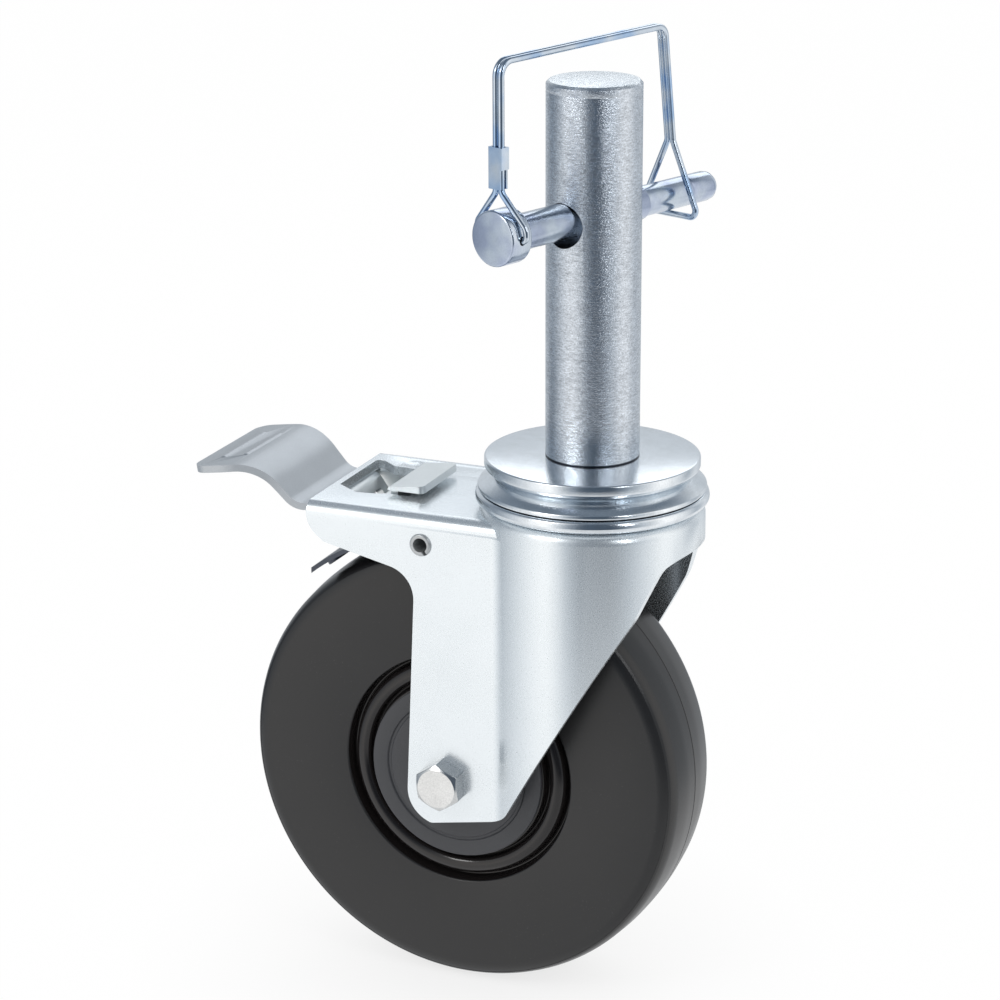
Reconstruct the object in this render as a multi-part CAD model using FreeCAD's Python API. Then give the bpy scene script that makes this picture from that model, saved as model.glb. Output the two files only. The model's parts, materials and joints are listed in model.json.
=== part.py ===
import FreeCAD, Part
import math
import os

# Scaffold castor: a solid stem with a cross pin and wire bail on a swivel head, over a pressed
# fork with a braked 200 mm rubber wheel.
# Frame: millimetres, +Z up the stem, origin at the centre of the disc's upper face. +X points from
# the axle towards the swivel, so the pedal lies at -X. The axle runs along Y.

# Stem and disc
STEM_R = 20.0
STEM_H = 160.0
STEM_CHAMFER = 1.0
DISC_R = 46.0
DISC_T = 6.0
DISC_ROUND = 0.9
DISC_UNDERCUT = 1.8

# Cross pin, in a plane turned by PIN_TURN from +X
PIN_TURN = 70.0
PIN_R = 7.5
NOSE_R = 6.5
PIN_HOLE_R = 9.5
PIN_HOLE_Z = 102.2
PIN_PLAY = 0.15
PIN_HEAD_R = 11.5
PIN_HEAD_L = 11.5
HEAD_BACK = -50.0
STEP_AT = 28.0
PIN_TIP = 75.5
HEAD_HOLE_R = 1.6
HEAD_ROUND = 0.8

# Bail, bent from one doubled wire
WIRE_R = 1.35
WIRE_GAP = 0.1
BAIL_RISE = 14.8
BAIL_SLOPE = 1.9
BAIL_TOP_Z = STEM_H + BAIL_RISE
NEAR_LEG_T = -57.5
FAR_TOP_T = 42.5
LOOP_T = 48.7
LOOP_APEX_Z = 127.5
LOOP_HALF = 16.0
LOOP_CLEAR = 0.3
LEG_SPREAD_Z = 122.5
V_HALF = 13.4
V_STRAIGHT = 4.5
HOOK_DEPTH = 5.0
CORNER_R = 6.0
FAR_CORNER_R = 4.5
HOOK_BEND_R = 2.2
SPREAD_R = 5.0
LOOP_BEND_R = 3.0
FERRULE_Z = (124.0, 141.0)
FERRULE_WALL = 0.8
FERRULE_CUT_Z = 132.0
FERRULE_SEAM = 0.6

# Swivel head
CUP_T = 3.0
CUP_FLAT_R = 40.5
CUP_RIM_R = 48.8
CUP_RIM_Z = -13.8
SWIVEL_GAP = 0.6
RACE_R = 50.0
RACE_IN_R = 30.0
RACE_TOP_R = 47.0
BALL_R = 4.0
BALL_PITCH_R = 37.5
BALL_COUNT = 12
BALL_PLAY = 0.2
LOWER_BALL_R = 3.2
LOWER_PITCH_R = 26.0
LOWER_COUNT = 10
LOWER_RACE_T = 4.0
LOWER_RIM_R = 33.0
LOWER_RIM_T = 2.5
KING_R = 7.0
KING_DEPTH = 25.0
KING_AF = 21.0
KING_HEAD_H = 8.8
KING_WASHER_R = 14.0
KING_WASHER_T = 2.5
SLEEVE_R = 17.0
FIT = 0.05

# Wheel, hung so that its highest point stays where it is
WHEEL_R = 100.0
TREAD_CROWN = 1.5
TREAD_TOP_Z = -42.7
AXLE_X = -52.8
AXLE_Z = TREAD_TOP_Z - WHEEL_R - TREAD_CROWN
WHEEL_W = 50.0
TREAD_ROUND = 4.5
CORE_R = 53.0
CORE_KEY_R = 58.0
CORE_KEY_W = 8.0
CAP_R = 40.0
CAP_T = 2.2
CAP_HOLE_R = 11.6
CAP_LINE_R = 32.0
HUB_FACE_Y = 24.8
BEARING_R = 17.5
BEARING_BORE = 7.5
BEARING_W = 11.0
BEARING_OUT_Y = 24.7
HUB_BORE_R = 14.0
BEARING_BALL_R = 2.7
BEARING_PITCH = 12.45
BEARING_COUNT = 7

# Fork pressing
SHEET = 4.0
CROWN_R = 48.4
CROWN_TOP = -21.0
CROWN_ROUND = 4.5
CROWN_HOLE_R = 21.0
PLATE_TOP = -24.0
PLATE_BEND = 5.5
REAR_X = -116.5
HALF_W = 40.0
BLEND_R = 10.0
FORK_BOTTOM = AXLE_Z - 20.8
LEG_REAR_TOP = (AXLE_X - 12.8, -50.6)
LEG_REAR_LOW = AXLE_X - 18.0
LEG_FRONT_LOW = AXLE_X + 23.8
LEG_FRONT_TOP = (32.5, -60.0)
FRONT_BAND = (42.0, -35.6)
SKIRT_CORNER = (-108.5, -41.0)
SKIRT_REAR_Z = -34.5
LEG_RADII = [12.0, 3.0, 14.0, 15.0, 9.0, 30.0, 12.0]
WINDOW_REAR_X = -113.5
WINDOW_FRONT_X = -78.5
WINDOW_NEAR_Y = -16.2
WINDOW_FAR_Y = 20.5
DIMPLE_AT = (-96.0, 27.8)
DIMPLE_CURVE = 13.0
DIMPLE_DEPTH = 0.9

# Axle
CORNER_CONE = 0.8
BOLT_R = 6.0
BOLT_AF = 19.0
BOLT_HEAD_H = 8.5
AXLE_WASHER_R = 12.0
AXLE_WASHER_T = 2.5
NUT_H = 11.0
BOLT_END = 3.5
SPACER_R = 11.0
INNER_SPACER_R = 10.0

# Brake pedal, brake shoe and their pin
PIVOT_X = -62.4
PIVOT_Z = -36.5
ROLL_PIN_R = 5.0
ROLL_PIN_WALL = 1.9
ROLL_PIN_SLOT = 1.5
ROLL_PIN_PROUD = 1.0
ROLL_PIN_TAPER = 0.6
PEDAL_T = 3.2
PEDAL_END = (-175.5, -17.1)
PEDAL_CREST = (-144.0, -12.4)
PEDAL_HOLLOW = (-127.5, -29.6)
PEDAL_BENDS = [23.0, 8.0, 4.0]
PEDAL_HALF = 33.5
PEDAL_SHOULDER_X = -158.0
PEDAL_WAIST = (-137.0, 28.8)
PEDAL_PLAN_BENDS = [40.0, 90.0]
PEDAL_NECK = (-121.5, 27.0)
PEDAL_FLARE = (-119.5, 30.4)
PEDAL_FLARE_END = -114.0
PEDAL_CORNER = 7.0
RIB_X = (-166.5, -157.0)
RIB_HALF = (19.0, 16.0)
RIB_R = 2.6
RIB_PROUD = 0.5
WEB_HALF = 24.0
WEB_TOP_Z = -28.9
WEB_BEND_X = -112.0
WEB_FOOT = (-100.5, -44.7)
WEB_HOLE_Y = 15.0
WEB_HOLE = (7.0, 6.5)
EAR_OUT = 31.0
EAR_LIP = 6.5
TAB_ROOT_X = -88.2
TAB_NECK_HALF = 14.5
TAB_HALF = 18.5
TAB_TIP = (-70.8, -18.2)
TAB_FOOT_Z = -20.1
TAB_LIFT = 2.4
TAB_CORNER = 2.5
SHOE_GAP = 5.8
SHOE_R = WHEEL_R + TREAD_CROWN + SHOE_GAP
SHOE_T = 2.0
SHOE_HALF = 27.2
SHOE_REAR_X = -121.0
SHOE_FRONT_X = -78.0
SHOE_EAR_T = 1.9
STUD_R = 5.0
STUD_H = 1.8
STUD_Y = 9.0
STUD_ANGLE = 37.0

V = FreeCAD.Vector
Z_AXIS = V(0, 0, 1)
Y_AXIS = V(0, 1, 0)

# Directions of the cross pin: along it, and across it
TURN = math.radians(PIN_TURN)
ALONG = V(math.cos(TURN), math.sin(TURN), 0)
ACROSS = V(math.sin(TURN), -math.cos(TURN), 0)
PIN_Z = PIN_HOLE_Z + PIN_HOLE_R - PIN_R - PIN_PLAY
PIVOT_T = HEAD_BACK - PIN_HEAD_L / 2

PLATE_BOTTOM = PLATE_TOP - SHEET
CROWN_BOTTOM = CROWN_TOP - SHEET
CHEEK_IN = HALF_W - SHEET
CUP_BOTTOM = -DISC_T - CUP_T
RACE_TOP = CUP_RIM_Z - SWIVEL_GAP
BALL_Z = CUP_BOTTOM - BALL_PLAY - BALL_R
LOWER_BALL_Z = CROWN_BOTTOM - BALL_PLAY - LOWER_BALL_R
LOWER_TOP = LOWER_BALL_Z - LOWER_BALL_R - BALL_PLAY
LOWER_BOTTOM = LOWER_TOP - LOWER_RACE_T


def pin_point(along, across, z):
    """A point given by its place along and across the cross pin."""
    return ALONG * along + ACROSS * across + Z_AXIS * z


def wire_of(points):
    """A closed wire of straight lines through the points."""
    return Part.makePolygon(list(points) + [points[0]])


def turned(profile):
    """A solid of revolution about Z from (radius, z) points."""
    face = Part.Face(wire_of([V(r, 0, z) for r, z in profile]))
    return face.revolve(V(0, 0, 0), Z_AXIS, 360)


def turned_on_axle(profile):
    """A solid of revolution about the axle from (radius, y) points."""
    points = [V(AXLE_X + r, y, AXLE_Z) for r, y in profile]
    face = Part.Face(wire_of(points))
    return face.revolve(V(AXLE_X, 0, AXLE_Z), Y_AXIS, 360)


def tube(radius, bore, start, length, axis):
    """A plain tube from start along axis."""
    outer = Part.makeCylinder(radius, length, start, axis)
    return outer.cut(Part.makeCylinder(bore, length, start, axis))


def rounded_path(points, radii):
    """An open wire of straight runs joined by tangent arcs at its inner points."""
    edges = []
    last = points[0]
    for before, corner, after, radius in zip(points, points[1:], points[2:], radii):
        back = (before - corner).normalize()
        ahead = (after - corner).normalize()
        half = back.getAngle(ahead) / 2
        reach = radius / math.tan(half)
        start = corner + back * reach
        end = corner + ahead * reach
        middle = (back + ahead).normalize()
        nearest = corner + middle * (radius / math.sin(half) - radius)
        edges.append(Part.makeLine(last, start))
        edges.append(Part.Arc(start, nearest, end).toShape())
        last = end
    edges.append(Part.makeLine(last, points[-1]))
    return Part.Wire(edges)


def strip(points, radii, thickness, half_width):
    """A bent sheet: a rounded line in the XZ plane, thickened and spread evenly in Y."""
    path = rounded_path([V(x, 0, z) for x, z in points], radii)
    face = path.makeOffset2D(thickness, 0, True, True, False)
    sheet = face.extrude(V(0, 2 * half_width, 0))
    sheet.translate(V(0, -half_width, 0))
    return sheet


def side_plate(points, low_y, high_y):
    """A flat plate with an XZ outline between two Y planes."""
    face = Part.Face(wire_of([V(x, low_y, z) for x, z in points]))
    return face.extrude(V(0, high_y - low_y, 0))


def hexagon(flats, height, start, axis, turn):
    """A hexagonal prism whose outer corners are coned off."""
    corner = flats / math.sqrt(3)
    points = []
    for k in range(6):
        angle = math.radians(60 * k + turn)
        points.append(V(corner * math.cos(angle), corner * math.sin(angle), 0))
    prism = Part.Face(wire_of(points)).extrude(V(0, 0, height))
    drop = (corner - flats / 2) * CORNER_CONE
    cone = Part.makeCone(corner + height - drop, corner - drop, height)
    prism = prism.common(cone)
    prism.Placement = FreeCAD.Placement(start, FreeCAD.Rotation(Z_AXIS, axis))
    return prism


def ring_of_balls(count, radius, pitch, centre, axis):
    """Separate balls evenly spaced on a circle."""
    first = V(1, 0, 0)
    balls = []
    for k in range(count):
        turn = FreeCAD.Rotation(axis, 360.0 * k / count)
        balls.append(Part.makeSphere(radius, centre + turn.multVec(first) * pitch))
    return Part.makeCompound(balls)


def edges_where(shape, test):
    return [e for e in shape.Edges if test(e)]


def stem():
    foot = V(0, 0, CUP_BOTTOM)
    bar = Part.makeCylinder(STEM_R, STEM_H - foot.z, foot)
    top = edges_where(bar, lambda e: e.BoundBox.ZMin > STEM_H - 0.1)
    bar = bar.makeChamfer(STEM_CHAMFER, top)
    bar = bar.cut(Part.makeCylinder(KING_R + FIT, KING_DEPTH - foot.z + 3, foot))
    hole_start = pin_point(-2 * STEM_R, 0, PIN_HOLE_Z)
    return bar.cut(Part.makeCylinder(PIN_HOLE_R, 4 * STEM_R, hole_start, ALONG)).removeSplitter()


def top_disc():
    disc = tube(DISC_R, STEM_R + FIT, V(0, 0, -DISC_T), DISC_T, Z_AXIS)
    rim = edges_where(disc, lambda e: e.BoundBox.XLength > 2 * DISC_R - 1 and e.BoundBox.ZLength < 0.1)
    low = [edge for edge in rim if edge.BoundBox.ZMin < -DISC_T + 0.1]
    disc = disc.makeChamfer(DISC_UNDERCUT, low)
    top = edges_where(disc, lambda e: e.BoundBox.XLength > 2 * DISC_R - 1 and e.BoundBox.ZMin > -0.1)
    return disc.makeFillet(DISC_ROUND, top)


def head_cup():
    inner = STEM_R + FIT
    drop = CUP_RIM_Z + 2.6
    profile = [(inner, -DISC_T), (CUP_FLAT_R, -DISC_T), (CUP_RIM_R - 1.2, drop)]
    profile += [(CUP_RIM_R, drop - 1.1), (CUP_RIM_R, CUP_RIM_Z), (CUP_RIM_R - 3.6, CUP_RIM_Z)]
    profile += [(CUP_FLAT_R - 0.9, CUP_BOTTOM), (inner, CUP_BOTTOM)]
    return turned(profile)


def race_ring():
    low = CROWN_TOP + 1.2
    profile = [(RACE_IN_R, CROWN_TOP), (CROWN_R - CROWN_ROUND, CROWN_TOP), (RACE_R - 1.4, low)]
    profile += [(RACE_R, low + 1.4), (RACE_R, RACE_TOP - 2.0), (RACE_R - 0.6, RACE_TOP - 0.6)]
    profile += [(RACE_R - 1.8, RACE_TOP), (RACE_IN_R, RACE_TOP)]
    groove = Part.makeTorus(BALL_PITCH_R, BALL_R + BALL_PLAY, V(0, 0, BALL_Z))
    channel = tube(BALL_PITCH_R + 4.6, BALL_PITCH_R - 4.6, V(0, 0, BALL_Z), BALL_R, Z_AXIS)
    return turned(profile).cut(groove).cut(channel)


def upper_balls():
    return ring_of_balls(BALL_COUNT, BALL_R, BALL_PITCH_R, V(0, 0, BALL_Z), Z_AXIS)


def lower_balls():
    return ring_of_balls(LOWER_COUNT, LOWER_BALL_R, LOWER_PITCH_R, V(0, 0, LOWER_BALL_Z), Z_AXIS)


def lower_race():
    bore = KING_R + FIT
    rim_top = LOWER_BALL_Z + 0.8
    inner_rim = LOWER_RIM_R - LOWER_RIM_T
    profile = [(bore, LOWER_BOTTOM), (inner_rim - 1, LOWER_BOTTOM), (LOWER_RIM_R, LOWER_BOTTOM + 3)]
    profile += [(LOWER_RIM_R, rim_top), (inner_rim, rim_top), (inner_rim, LOWER_TOP), (bore, LOWER_TOP)]
    return turned(profile)


def king_sleeve():
    return tube(SLEEVE_R, KING_R + FIT, V(0, 0, LOWER_TOP), CUP_BOTTOM - LOWER_TOP, Z_AXIS)


def king_washer():
    low = LOWER_BOTTOM - KING_WASHER_T
    return tube(KING_WASHER_R, KING_R + FIT, V(0, 0, low), KING_WASHER_T, Z_AXIS)


def king_bolt():
    seat = LOWER_BOTTOM - KING_WASHER_T
    shank = Part.makeCylinder(KING_R, KING_DEPTH - seat, V(0, 0, seat))
    return shank.fuse(hexagon(KING_AF, KING_HEAD_H, V(0, 0, seat), V(0, 0, -1), 0)).removeSplitter()


def shell_block(inset):
    """The fork's outer form, shrunk by inset all round, before its legs are cut."""
    plate_z = PLATE_TOP - inset
    crown_z = CROWN_TOP - inset
    half = HALF_W - inset
    radius = CROWN_R - inset
    depth = 2 * abs(FORK_BOTTOM)
    start_x = REAR_X - 2 * inset
    block = Part.makeBox(-start_x, 2 * half, depth, V(start_x, -half, plate_z - depth))
    bend = PLATE_BEND - inset
    long_top = edges_where(
        block,
        lambda e: e.BoundBox.XLength > 1 and e.BoundBox.ZMin > plate_z - 0.1 and e.BoundBox.YLength < 0.1,
    )
    block = block.makeFillet(bend, long_top)
    drum = Part.makeCylinder(radius, depth, V(0, 0, crown_z - depth))
    rim = edges_where(drum, lambda e: e.BoundBox.ZMin > crown_z - 0.1)
    drum = drum.makeFillet(CROWN_ROUND - inset, rim)
    meet_x = -math.sqrt(radius**2 - half**2)
    blend = BLEND_R + inset
    low = plate_z - bend
    blocks = [block, drum]
    for side in (-1, 1):
        blocks.append(cheek_blend(side, radius, half, blend, low, depth))
    return blocks[0].multiFuse(blocks[1:]).removeSplitter()


def cheek_blend(side, radius, half, blend, low, depth):
    """The hollow curve where a flat cheek runs into the round crown."""
    reach = radius + blend
    centre_y = half + blend
    centre_x = -math.sqrt(reach**2 - centre_y**2)
    centre = V(centre_x, side * centre_y, low)
    on_flat = V(centre_x, side * half, low)
    on_drum = V(centre_x * radius / reach, side * centre_y * radius / reach, low)
    inward = V(-centre_x, -side * centre_y, 0).normalize()
    towards_corner = (inward + V(0, -side, 0)).normalize()
    nearest = centre + towards_corner * blend
    inside = V(on_drum.x, side * (half - 2), low)
    edges = [
        Part.Arc(on_flat, nearest, on_drum).toShape(),
        Part.makeLine(on_drum, inside),
        Part.makeLine(inside, V(centre_x, side * (half - 2), low)),
        Part.makeLine(V(centre_x, side * (half - 2), low), on_flat),
    ]
    top = 0
    return Part.Face(Part.Wire(edges)).extrude(V(0, 0, top - depth))


def leg_outline():
    """The XZ outline that the cheeks and the crown are cut to."""
    above = 10.0
    front = CROWN_R + 10
    outline = [(REAR_X, above), (REAR_X, SKIRT_REAR_Z), SKIRT_CORNER, LEG_REAR_TOP]
    outline += [(LEG_REAR_LOW, FORK_BOTTOM), (LEG_FRONT_LOW, FORK_BOTTOM), LEG_FRONT_TOP]
    outline += [FRONT_BAND, (front, FRONT_BAND[1])]
    points = [V(x, 0, z) for x, z in outline]
    path = rounded_path(points, LEG_RADII)
    closing = Part.makePolygon([points[-1], V(front, 0, above), points[0]])
    return Part.Wire(path.Edges + closing.Edges)


def window_outline():
    """The opening in the top plate, seen from above, for the pedal's release tab."""
    rear = WINDOW_REAR_X
    front = WINDOW_FRONT_X
    near = WINDOW_NEAR_Y
    far = WINDOW_FAR_Y
    points = [(rear, near + 4.2), (rear + 11, near - 3.3), (rear + 18.5, near - 2.3)]
    points += [(rear + 26, near), (front, near), (front, far - 3), (rear + 16.5, far)]
    points += [(rear + 11, far), (rear + 4, far + 5.5), (rear, far + 5.5)]
    return wire_of([V(x, y, PLATE_BOTTOM - 1) for x, y in points])


def fork():
    shell = shell_block(0).cut(shell_block(SHEET))
    keep = Part.Face(leg_outline()).extrude(V(0, 4 * HALF_W, 0))
    keep.translate(V(0, -2 * HALF_W, 0))
    shell = shell.common(keep)
    window = Part.Face(window_outline()).extrude(V(0, 0, SHEET + 2))
    corners = edges_where(window, lambda e: e.BoundBox.ZLength > SHEET)
    window = window.makeFillet(1.2, corners)
    span = 4 * HALF_W
    low_y = -2 * HALF_W
    shell = shell.cut(window)
    shell = shell.cut(Part.makeCylinder(CROWN_HOLE_R, 4 * SHEET, V(0, 0, CROWN_TOP - 2 * SHEET)))
    dimple_z = PLATE_TOP + DIMPLE_CURVE - DIMPLE_DEPTH
    shell = shell.cut(Part.makeSphere(DIMPLE_CURVE, V(*DIMPLE_AT, dimple_z)))
    shell = shell.cut(Part.makeCylinder(BOLT_R + FIT, span, V(AXLE_X, low_y, AXLE_Z), Y_AXIS))
    shell = shell.cut(Part.makeCylinder(ROLL_PIN_R, span, V(PIVOT_X, low_y, PIVOT_Z), Y_AXIS))
    return shell.removeSplitter()


def roll_pin():
    half = HALF_W + ROLL_PIN_PROUD
    start = V(PIVOT_X, -half, PIVOT_Z)
    pin = Part.makeCylinder(ROLL_PIN_R, 2 * half, start, Y_AXIS)
    pin = pin.makeChamfer(ROLL_PIN_TAPER, edges_where(pin, lambda e: e.BoundBox.YLength < 0.1))
    pin = pin.cut(Part.makeCylinder(ROLL_PIN_R - ROLL_PIN_WALL, 2 * half, start, Y_AXIS))
    slot = Part.makeBox(ROLL_PIN_R + 2, 2 * half, ROLL_PIN_SLOT, V(0, 0, -ROLL_PIN_SLOT / 2))
    slot.rotate(V(0, 0, 0), Y_AXIS, 60)
    slot.translate(start)
    return pin.cut(slot)


def pivot_bushes():
    bore = ROLL_PIN_R + FIT
    length = CHEEK_IN - EAR_OUT - 2 * FIT
    starts = [V(PIVOT_X, y, PIVOT_Z) for y in (-CHEEK_IN + FIT, EAR_OUT + FIT)]
    return Part.makeCompound([tube(bore + 1.6, bore, start, length, Y_AXIS) for start in starts])


def pedal_plan():
    """The pedal's outline seen from above."""
    rear = PEDAL_END[0] - 3
    front = WEB_FOOT[0] + 6
    corners = [(rear, PEDAL_HALF), (PEDAL_SHOULDER_X, PEDAL_HALF), PEDAL_WAIST, PEDAL_NECK]
    flare = [PEDAL_NECK, PEDAL_FLARE, (PEDAL_FLARE_END, PEDAL_FLARE[1]), (PEDAL_FLARE_END, WEB_HALF)]
    step = [V(x, y, -80) for x, y in flare + [(front, WEB_HALF)]]
    far = rounded_path([V(x, y, -80) for x, y in corners], PEDAL_PLAN_BENDS).Edges
    far += [Part.makeLine(a, b) for a, b in zip(step, step[1:])]
    near = [edge.mirror(V(0, 0, 0), Y_AXIS) for edge in far]
    ends = [Part.makeLine(V(x, -half, -80), V(x, half, -80)) for x, half in ((rear, PEDAL_HALF), (front, WEB_HALF))]
    outline = Part.Wire(Part.__sortEdges__(far + near + ends))
    return Part.Face(outline).extrude(V(0, 0, 90))


def pedal_line():
    """The middle of the pedal's pad and web, from its end to the web's foot."""
    return [PEDAL_END, PEDAL_CREST, PEDAL_HOLLOW, (WEB_BEND_X, WEB_TOP_Z), WEB_FOOT]


def pad_ribs():
    """Two raised ribs across the pad, each a bar with round ends lying along the pad's slope."""
    (end_x, end_z), (crest_x, crest_z) = PEDAL_END, PEDAL_CREST
    ribs = []
    for x, half in zip(RIB_X, RIB_HALF):
        z = end_z + (crest_z - end_z) * (x - end_x) / (crest_x - end_x)
        centre = V(x, 0, z + RIB_PROUD - RIB_R)
        bar = Part.makeCylinder(RIB_R, 2 * half, centre - V(0, half, 0), Y_AXIS)
        ends = [Part.makeSphere(RIB_R, centre + V(0, side * half, 0)) for side in (-1, 1)]
        ribs.append(bar.multiFuse(ends))
    return ribs


def ear_outline():
    """The side outline of the pedal's ears about the pivot."""
    top = WEB_TOP_Z - 1
    low = PIVOT_Z - EAR_LIP
    rear = WEB_BEND_X - 9
    outline = [(rear, top), (PIVOT_X + 6, top), (PIVOT_X + 8.5, PIVOT_Z), (PIVOT_X + 5, low)]
    return outline + [(PIVOT_X - 8, low), (WEB_BEND_X + 6, PIVOT_Z - 2), (rear, top - 2.7)]


def release_tab():
    """The strip between the ears that rises through the window and widens over the plate."""
    root = TAB_ROOT_X
    line = [(root - 7.8, WEB_TOP_Z), (root, WEB_TOP_Z), (root + 0.6, TAB_FOOT_Z), TAB_TIP]
    sheet = strip(line, [1.5, 1.5], -PEDAL_T, EAR_OUT)
    start = root - 8.8
    neck = Part.makeBox(14, 2 * TAB_NECK_HALF, 12, V(start, -TAB_NECK_HALF, WEB_TOP_Z + 0.1))
    head = Part.makeBox(30, 2 * TAB_HALF, 12, V(start, -TAB_HALF, PLATE_TOP + TAB_LIFT))
    base = Part.makeBox(30, 2 * EAR_OUT, 12, V(start, -EAR_OUT, WEB_TOP_Z - 11.9))
    tab = sheet.common(base.multiFuse([neck, head]))
    tip = edges_where(
        tab,
        lambda e: e.BoundBox.XMin > TAB_TIP[0] - 4 and e.BoundBox.YLength < 0.1 and e.BoundBox.ZLength > 2,
    )
    return tab.makeFillet(TAB_CORNER, tip)


def pedal():
    pad = strip(pedal_line(), PEDAL_BENDS, -PEDAL_T, 2 * PEDAL_HALF)
    pad = pad.common(pedal_plan())
    rear = edges_where(
        pad,
        lambda e: e.BoundBox.XMax < PEDAL_END[0] + 2 and e.BoundBox.ZLength > 2 and e.BoundBox.YLength < 1,
    )
    pad = pad.makeFillet(PEDAL_CORNER, rear)
    parts = pad_ribs()
    for low in (-EAR_OUT, EAR_OUT - PEDAL_T):
        parts.append(side_plate(ear_outline(), low, low + PEDAL_T))
    parts.append(release_tab())
    body = pad.multiFuse(parts)
    bore = Part.makeCylinder(ROLL_PIN_R + FIT, 4 * HALF_W, V(PIVOT_X, -2 * HALF_W, PIVOT_Z), Y_AXIS)
    body = body.cut(bore)
    slope = math.atan2(WEB_TOP_Z - WEB_FOOT[1], WEB_FOOT[0] - WEB_BEND_X)
    for side in (-1, 1):
        along, across = WEB_HOLE
        hole = Part.makeBox(along, across, 16, V(-along / 2, -across / 2, -8))
        hole = hole.makeFillet(1.5, edges_where(hole, lambda e: e.BoundBox.ZLength > 10))
        hole.rotate(V(0, 0, 0), Y_AXIS, math.degrees(slope))
        hole.translate(V((WEB_BEND_X + WEB_FOOT[0]) / 2, side * WEB_HOLE_Y, (WEB_TOP_Z + WEB_FOOT[1]) / 2))
        body = body.cut(hole)
    return body.removeSplitter()


def shoe_point(radius, x):
    """A point on a circle about the axle, above it, at the given x."""
    return V(x, 0, AXLE_Z + math.sqrt(radius**2 - (x - AXLE_X) ** 2))


def brake_shoe():
    outer_r = SHOE_R + SHOE_T
    middle_x = (SHOE_REAR_X + SHOE_FRONT_X) / 2
    inner = [shoe_point(SHOE_R, x) for x in (SHOE_REAR_X, middle_x, SHOE_FRONT_X)]
    outer = [shoe_point(outer_r, x) for x in (SHOE_FRONT_X, middle_x, SHOE_REAR_X)]
    edges = [Part.Arc(*inner).toShape(), Part.makeLine(inner[2], outer[0])]
    edges += [Part.Arc(*outer).toShape(), Part.makeLine(outer[2], inner[0])]
    plate = Part.Face(Part.Wire(edges)).extrude(V(0, 2 * SHOE_HALF, 0))
    plate.translate(V(0, -SHOE_HALF, 0))
    ear_rear = shoe_point(SHOE_R + SHOE_T / 4, PIVOT_X - 29.6)
    ear_top = shoe_point(outer_r, PIVOT_X - 17.6)
    ear_low = shoe_point(SHOE_R - 3.9, PIVOT_X - 27.6)
    ear_line = [(ear_rear.x, ear_rear.z), (ear_top.x, ear_top.z), (PIVOT_X + 5, PIVOT_Z + 6.5)]
    ear_line += [(PIVOT_X + 8, PIVOT_Z), (PIVOT_X + 4, PIVOT_Z - 7), (PIVOT_X - 8, PIVOT_Z - 7)]
    ear_line += [(ear_low.x, ear_low.z)]
    parts = [plate]
    for low in (-SHOE_HALF, SHOE_HALF - SHOE_EAR_T):
        parts.append(side_plate(ear_line, low, low + SHOE_EAR_T))
    body = parts[0].multiFuse(parts[1:])
    bore = Part.makeCylinder(ROLL_PIN_R + FIT, 4 * HALF_W, V(PIVOT_X, -2 * HALF_W, PIVOT_Z), Y_AXIS)
    return body.cut(bore).removeSplitter()


def brake_studs():
    angle = math.radians(STUD_ANGLE)
    outward = V(-math.sin(angle), 0, math.cos(angle))
    studs = []
    for side in (-1, 1):
        foot = V(AXLE_X, side * STUD_Y, AXLE_Z) + outward * (SHOE_R - STUD_H)
        stud = Part.makeCylinder(STUD_R, STUD_H - 0.15, foot, outward)
        studs.append(stud)
    return Part.makeCompound(studs)


def tyre():
    half = WHEEL_W / 2
    edge = WHEEL_R - TREAD_ROUND
    profile = [V(CORE_R, -half, 0), V(edge, -half, 0)]
    shoulder = V(WHEEL_R, -(half - TREAD_ROUND), 0)
    bulge = TREAD_ROUND * (1 - math.cos(math.pi / 4))
    middle = V(WHEEL_R - bulge, -(half - bulge), 0)
    top = V(WHEEL_R + TREAD_CROWN, 0, 0)
    far_shoulder = V(WHEEL_R, half - TREAD_ROUND, 0)
    far_middle = V(WHEEL_R - bulge, half - bulge, 0)
    far_edge = V(edge, half, 0)
    edges = [
        Part.makeLine(profile[0], profile[1]),
        Part.Arc(profile[1], middle, shoulder).toShape(),
        Part.Arc(shoulder, top, far_shoulder).toShape(),
        Part.Arc(far_shoulder, far_middle, far_edge).toShape(),
    ]
    inside = [far_edge, V(CORE_R, half, 0), V(CORE_R, CORE_KEY_W, 0), V(CORE_KEY_R, CORE_KEY_W, 0)]
    inside += [V(CORE_KEY_R, -CORE_KEY_W, 0), V(CORE_R, -CORE_KEY_W, 0), V(CORE_R, -half, 0)]
    edges += Part.makePolygon(inside).Edges
    face = Part.Face(Part.Wire(edges))
    face.translate(V(AXLE_X, 0, AXLE_Z))
    return face.revolve(V(AXLE_X, 0, AXLE_Z), Y_AXIS, 360)


def wheel_core():
    half = WHEEL_W / 2
    seat_y = BEARING_OUT_Y - BEARING_W
    side = [(HUB_BORE_R, seat_y), (BEARING_R, seat_y), (BEARING_R, HUB_FACE_Y), (CAP_R + 0.6, HUB_FACE_Y)]
    side += [(CAP_R + 1.2, 20.5), (42.8, 20.0), (44.0, 23.4), (45.6, 24.3), (47.2, 23.8), (48.6, 21.2)]
    side += [(50.4, 19.0), (52.0, 21.5), (CORE_R, half - 0.6)]
    outer = [(CORE_R, CORE_KEY_W), (CORE_KEY_R, CORE_KEY_W)]
    upper = side + outer
    lower = [(r, -y) for r, y in reversed(upper)]
    return turned_on_axle(upper + lower)


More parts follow.
